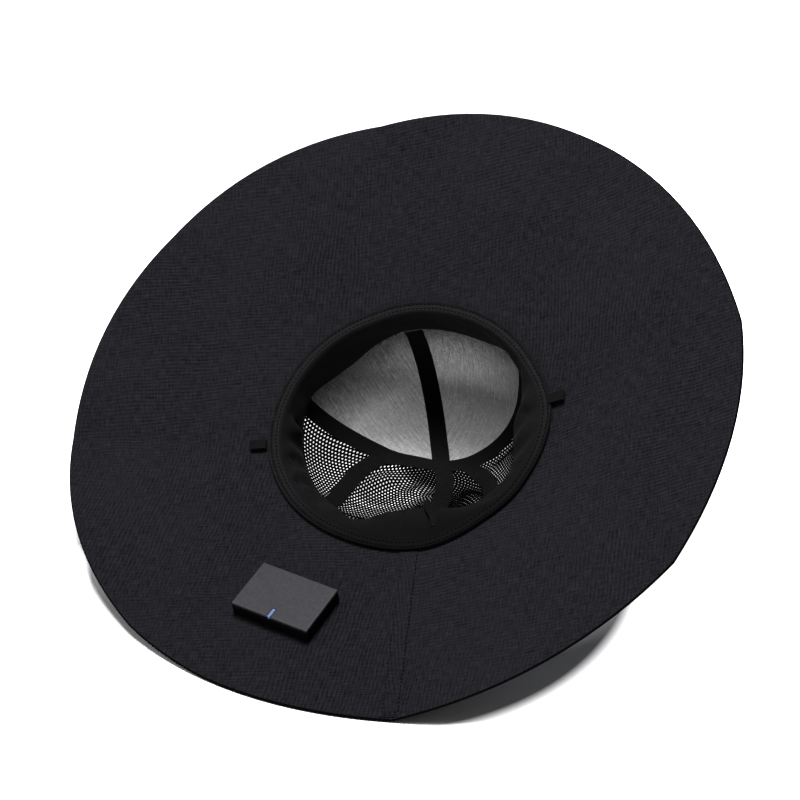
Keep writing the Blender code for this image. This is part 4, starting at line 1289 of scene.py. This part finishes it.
def rounded_copy(name, node_name, slot, bevel, segments):
    """A copy of a solid with its edges rounded, as the piece that replaces it."""
    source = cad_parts[node_name]
    mesh = source.data.copy()
    mesh.materials.clear()
    mesh.materials.append(MATERIALS[slot])
    mesh.shade_smooth()
    obj = bpy.data.objects.new(name, mesh)
    obj.matrix_world = source.matrix_world.copy()
    bpy.context.scene.collection.objects.link(obj)
    modifiers = (
        ("WELD", {"merge_threshold": 0.00002}),
        ("DECIMATE", {"decimate_type": "DISSOLVE", "angle_limit": math.radians(1.0)}),
        ("BEVEL", {"width": bevel, "segments": segments, "limit_method": "ANGLE",
                   "angle_limit": math.radians(35.0)}),
        ("WEIGHTED_NORMAL", {"weight": 100}),
    )
    for kind, options in modifiers:
        modifier = obj.modifiers.new(kind.lower(), kind)
        for option, value in options.items():
            setattr(modifier, option, value)
    graph = bpy.context.evaluated_depsgraph_get()
    mesh = bpy.data.meshes.new_from_object(obj.evaluated_get(graph))
    obj.modifiers.clear()
    obj.data = mesh
    finish_piece(obj, slot, node_name)


class HAT_OT_loops(HatOperator, bpy.types.Operator):
    """Build the two ribbon loops at the sides of the flange"""
    bl_idname = "hat.loops"
    bl_label = "Strap loops"

    BEVEL = 0.00025
    SEGMENTS = 2

    def execute(self, context):
        for name in ("loop_left", "loop_right"):
            rounded_copy(name + "_ribbon", name, "tape_cloth", self.BEVEL, self.SEGMENTS)
        return {"FINISHED"}


class HAT_OT_charger(HatOperator, bpy.types.Operator):
    """Build the charger box: base, lid and light pipe with softened edges"""
    bl_idname = "hat.charger"
    bl_label = "Charger box"

    PARTS = (("charger_base", "base_plastic", 0.0006), ("charger_lid", "lid_plastic", 0.0010),
             ("light_pipe", "light_plastic", 0.0003))
    SEGMENTS = 3

    def execute(self, context):
        for name, slot, bevel in self.PARTS:
            rounded_copy(name + "_shell", name, slot, bevel, self.SEGMENTS)
        return {"FINISHED"}


class HAT_OT_stage(HatOperator, bpy.types.Operator):
    """Build the floor, the soft lights and the camera at the photograph's angle"""
    bl_idname = "hat.stage"
    bl_label = "Stage"

    AIM = (RING_CENTRE[0] - 0.0036, RING_CENTRE[1] + 0.1531, 0.0)
    LIGHTS = (
        ("overhead", (-0.15, -0.05, 2.4), 0.9, 100.0),
        ("left", (-2.0, -0.4, 1.9), 1.2, 18.0),
    )
    LIT_SPOT = (0.0, 0.05, 0.05)
    FLOOR_RADII = (0.02, 0.5, 1.5, 4.0, 12.0)
    FLOOR_SIDES = 96
    GAMMA = 0.75
    WORLD_STRENGTH = 0.20

    def add_floor(self):
        sides = self.FLOOR_SIDES
        step = np.arange(sides) * 2.0 * math.pi / sides
        points = np.concatenate([polar(radius, np.degrees(step)) for radius in self.FLOOR_RADII])
        faces = [tuple(range(sides))]
        for ring in range(0, len(points) - sides, sides):
            for spot in range(sides):
                a, b = ring + spot, ring + (spot + 1) % sides
                faces.append((a, a + sides, b + sides, b))
        floor = make_object("studio_floor", points, faces, ("floor",), smooth=False)

    def execute(self, context):
        values = self.settings
        scene = context.scene
        scene.view_settings.view_transform = "Standard"
        scene.view_settings.gamma = self.GAMMA
        self.add_floor()
        world = bpy.data.worlds.new("studio")
        world.use_nodes = True
        feed(world.node_tree, world.node_tree.nodes["Background"],
             {"Color": (1.0, 1.0, 1.0), "Strength": self.WORLD_STRENGTH})
        scene.world = world
        for name, place, size, power in self.LIGHTS:
            light = bpy.data.lights.new(name, "AREA")
            light.shape = "DISK"
            light.size = size
            light.energy = power
            obj = bpy.data.objects.new(name, light)
            scene.collection.objects.link(obj)
            obj.location = place
            ahead = Vector(self.LIT_SPOT) - Vector(place)
            obj.rotation_euler = ahead.to_track_quat("-Z", "Y").to_euler()
        camera = bpy.data.cameras.new("camera")
        camera.sensor_width = 36.0
        camera.lens = values.camera_lens
        camera.clip_end = 50.0
        obj = bpy.data.objects.new("camera", camera)
        scene.collection.objects.link(obj)
        look = Vector((0.0, math.cos(values.camera_elevation), -math.sin(values.camera_elevation)))
        obj.location = Vector(self.AIM) - look * values.camera_distance
        obj.rotation_euler = (math.pi / 2.0 - values.camera_elevation, 0.0, 0.0)
        scene.camera = obj
        return {"FINISHED"}


class HAT_PT_panel(bpy.types.Panel):
    """Sizes, colours and steps of the solar hat"""
    bl_idname = "HAT_PT_panel"
    bl_label = "Solar hat"
    bl_space_type = "VIEW_3D"
    bl_region_type = "UI"
    bl_category = "Solar hat"

    def draw(self, context):
        for name in HatSettings.__annotations__:
            self.layout.prop(context.scene.solar_hat, name)
        for step in STEPS:
            self.layout.operator(step.bl_idname)


STEPS = (
    HAT_OT_materials,
    HAT_OT_stage,
    HAT_OT_brim,
    HAT_OT_laminates,
    HAT_OT_seam_strip,
    HAT_OT_sweatband,
    HAT_OT_sheer_panels,
    HAT_OT_net_panels,
    HAT_OT_tapes,
    HAT_OT_loops,
    HAT_OT_charger,
)
CLASSES = (HatSettings, *STEPS, HAT_PT_panel)


def register():
    for item in CLASSES:
        bpy.utils.register_class(item)
    bpy.types.Scene.solar_hat = bpy.props.PointerProperty(type=HatSettings)


def unregister():
    del bpy.types.Scene.solar_hat
    for item in reversed(CLASSES):
        bpy.utils.unregister_class(item)


def main():
    register()
    for step in STEPS:
        group, name = step.bl_idname.split(".")
        getattr(getattr(bpy.ops, group), name)()


if __name__ == "__main__":
    main()
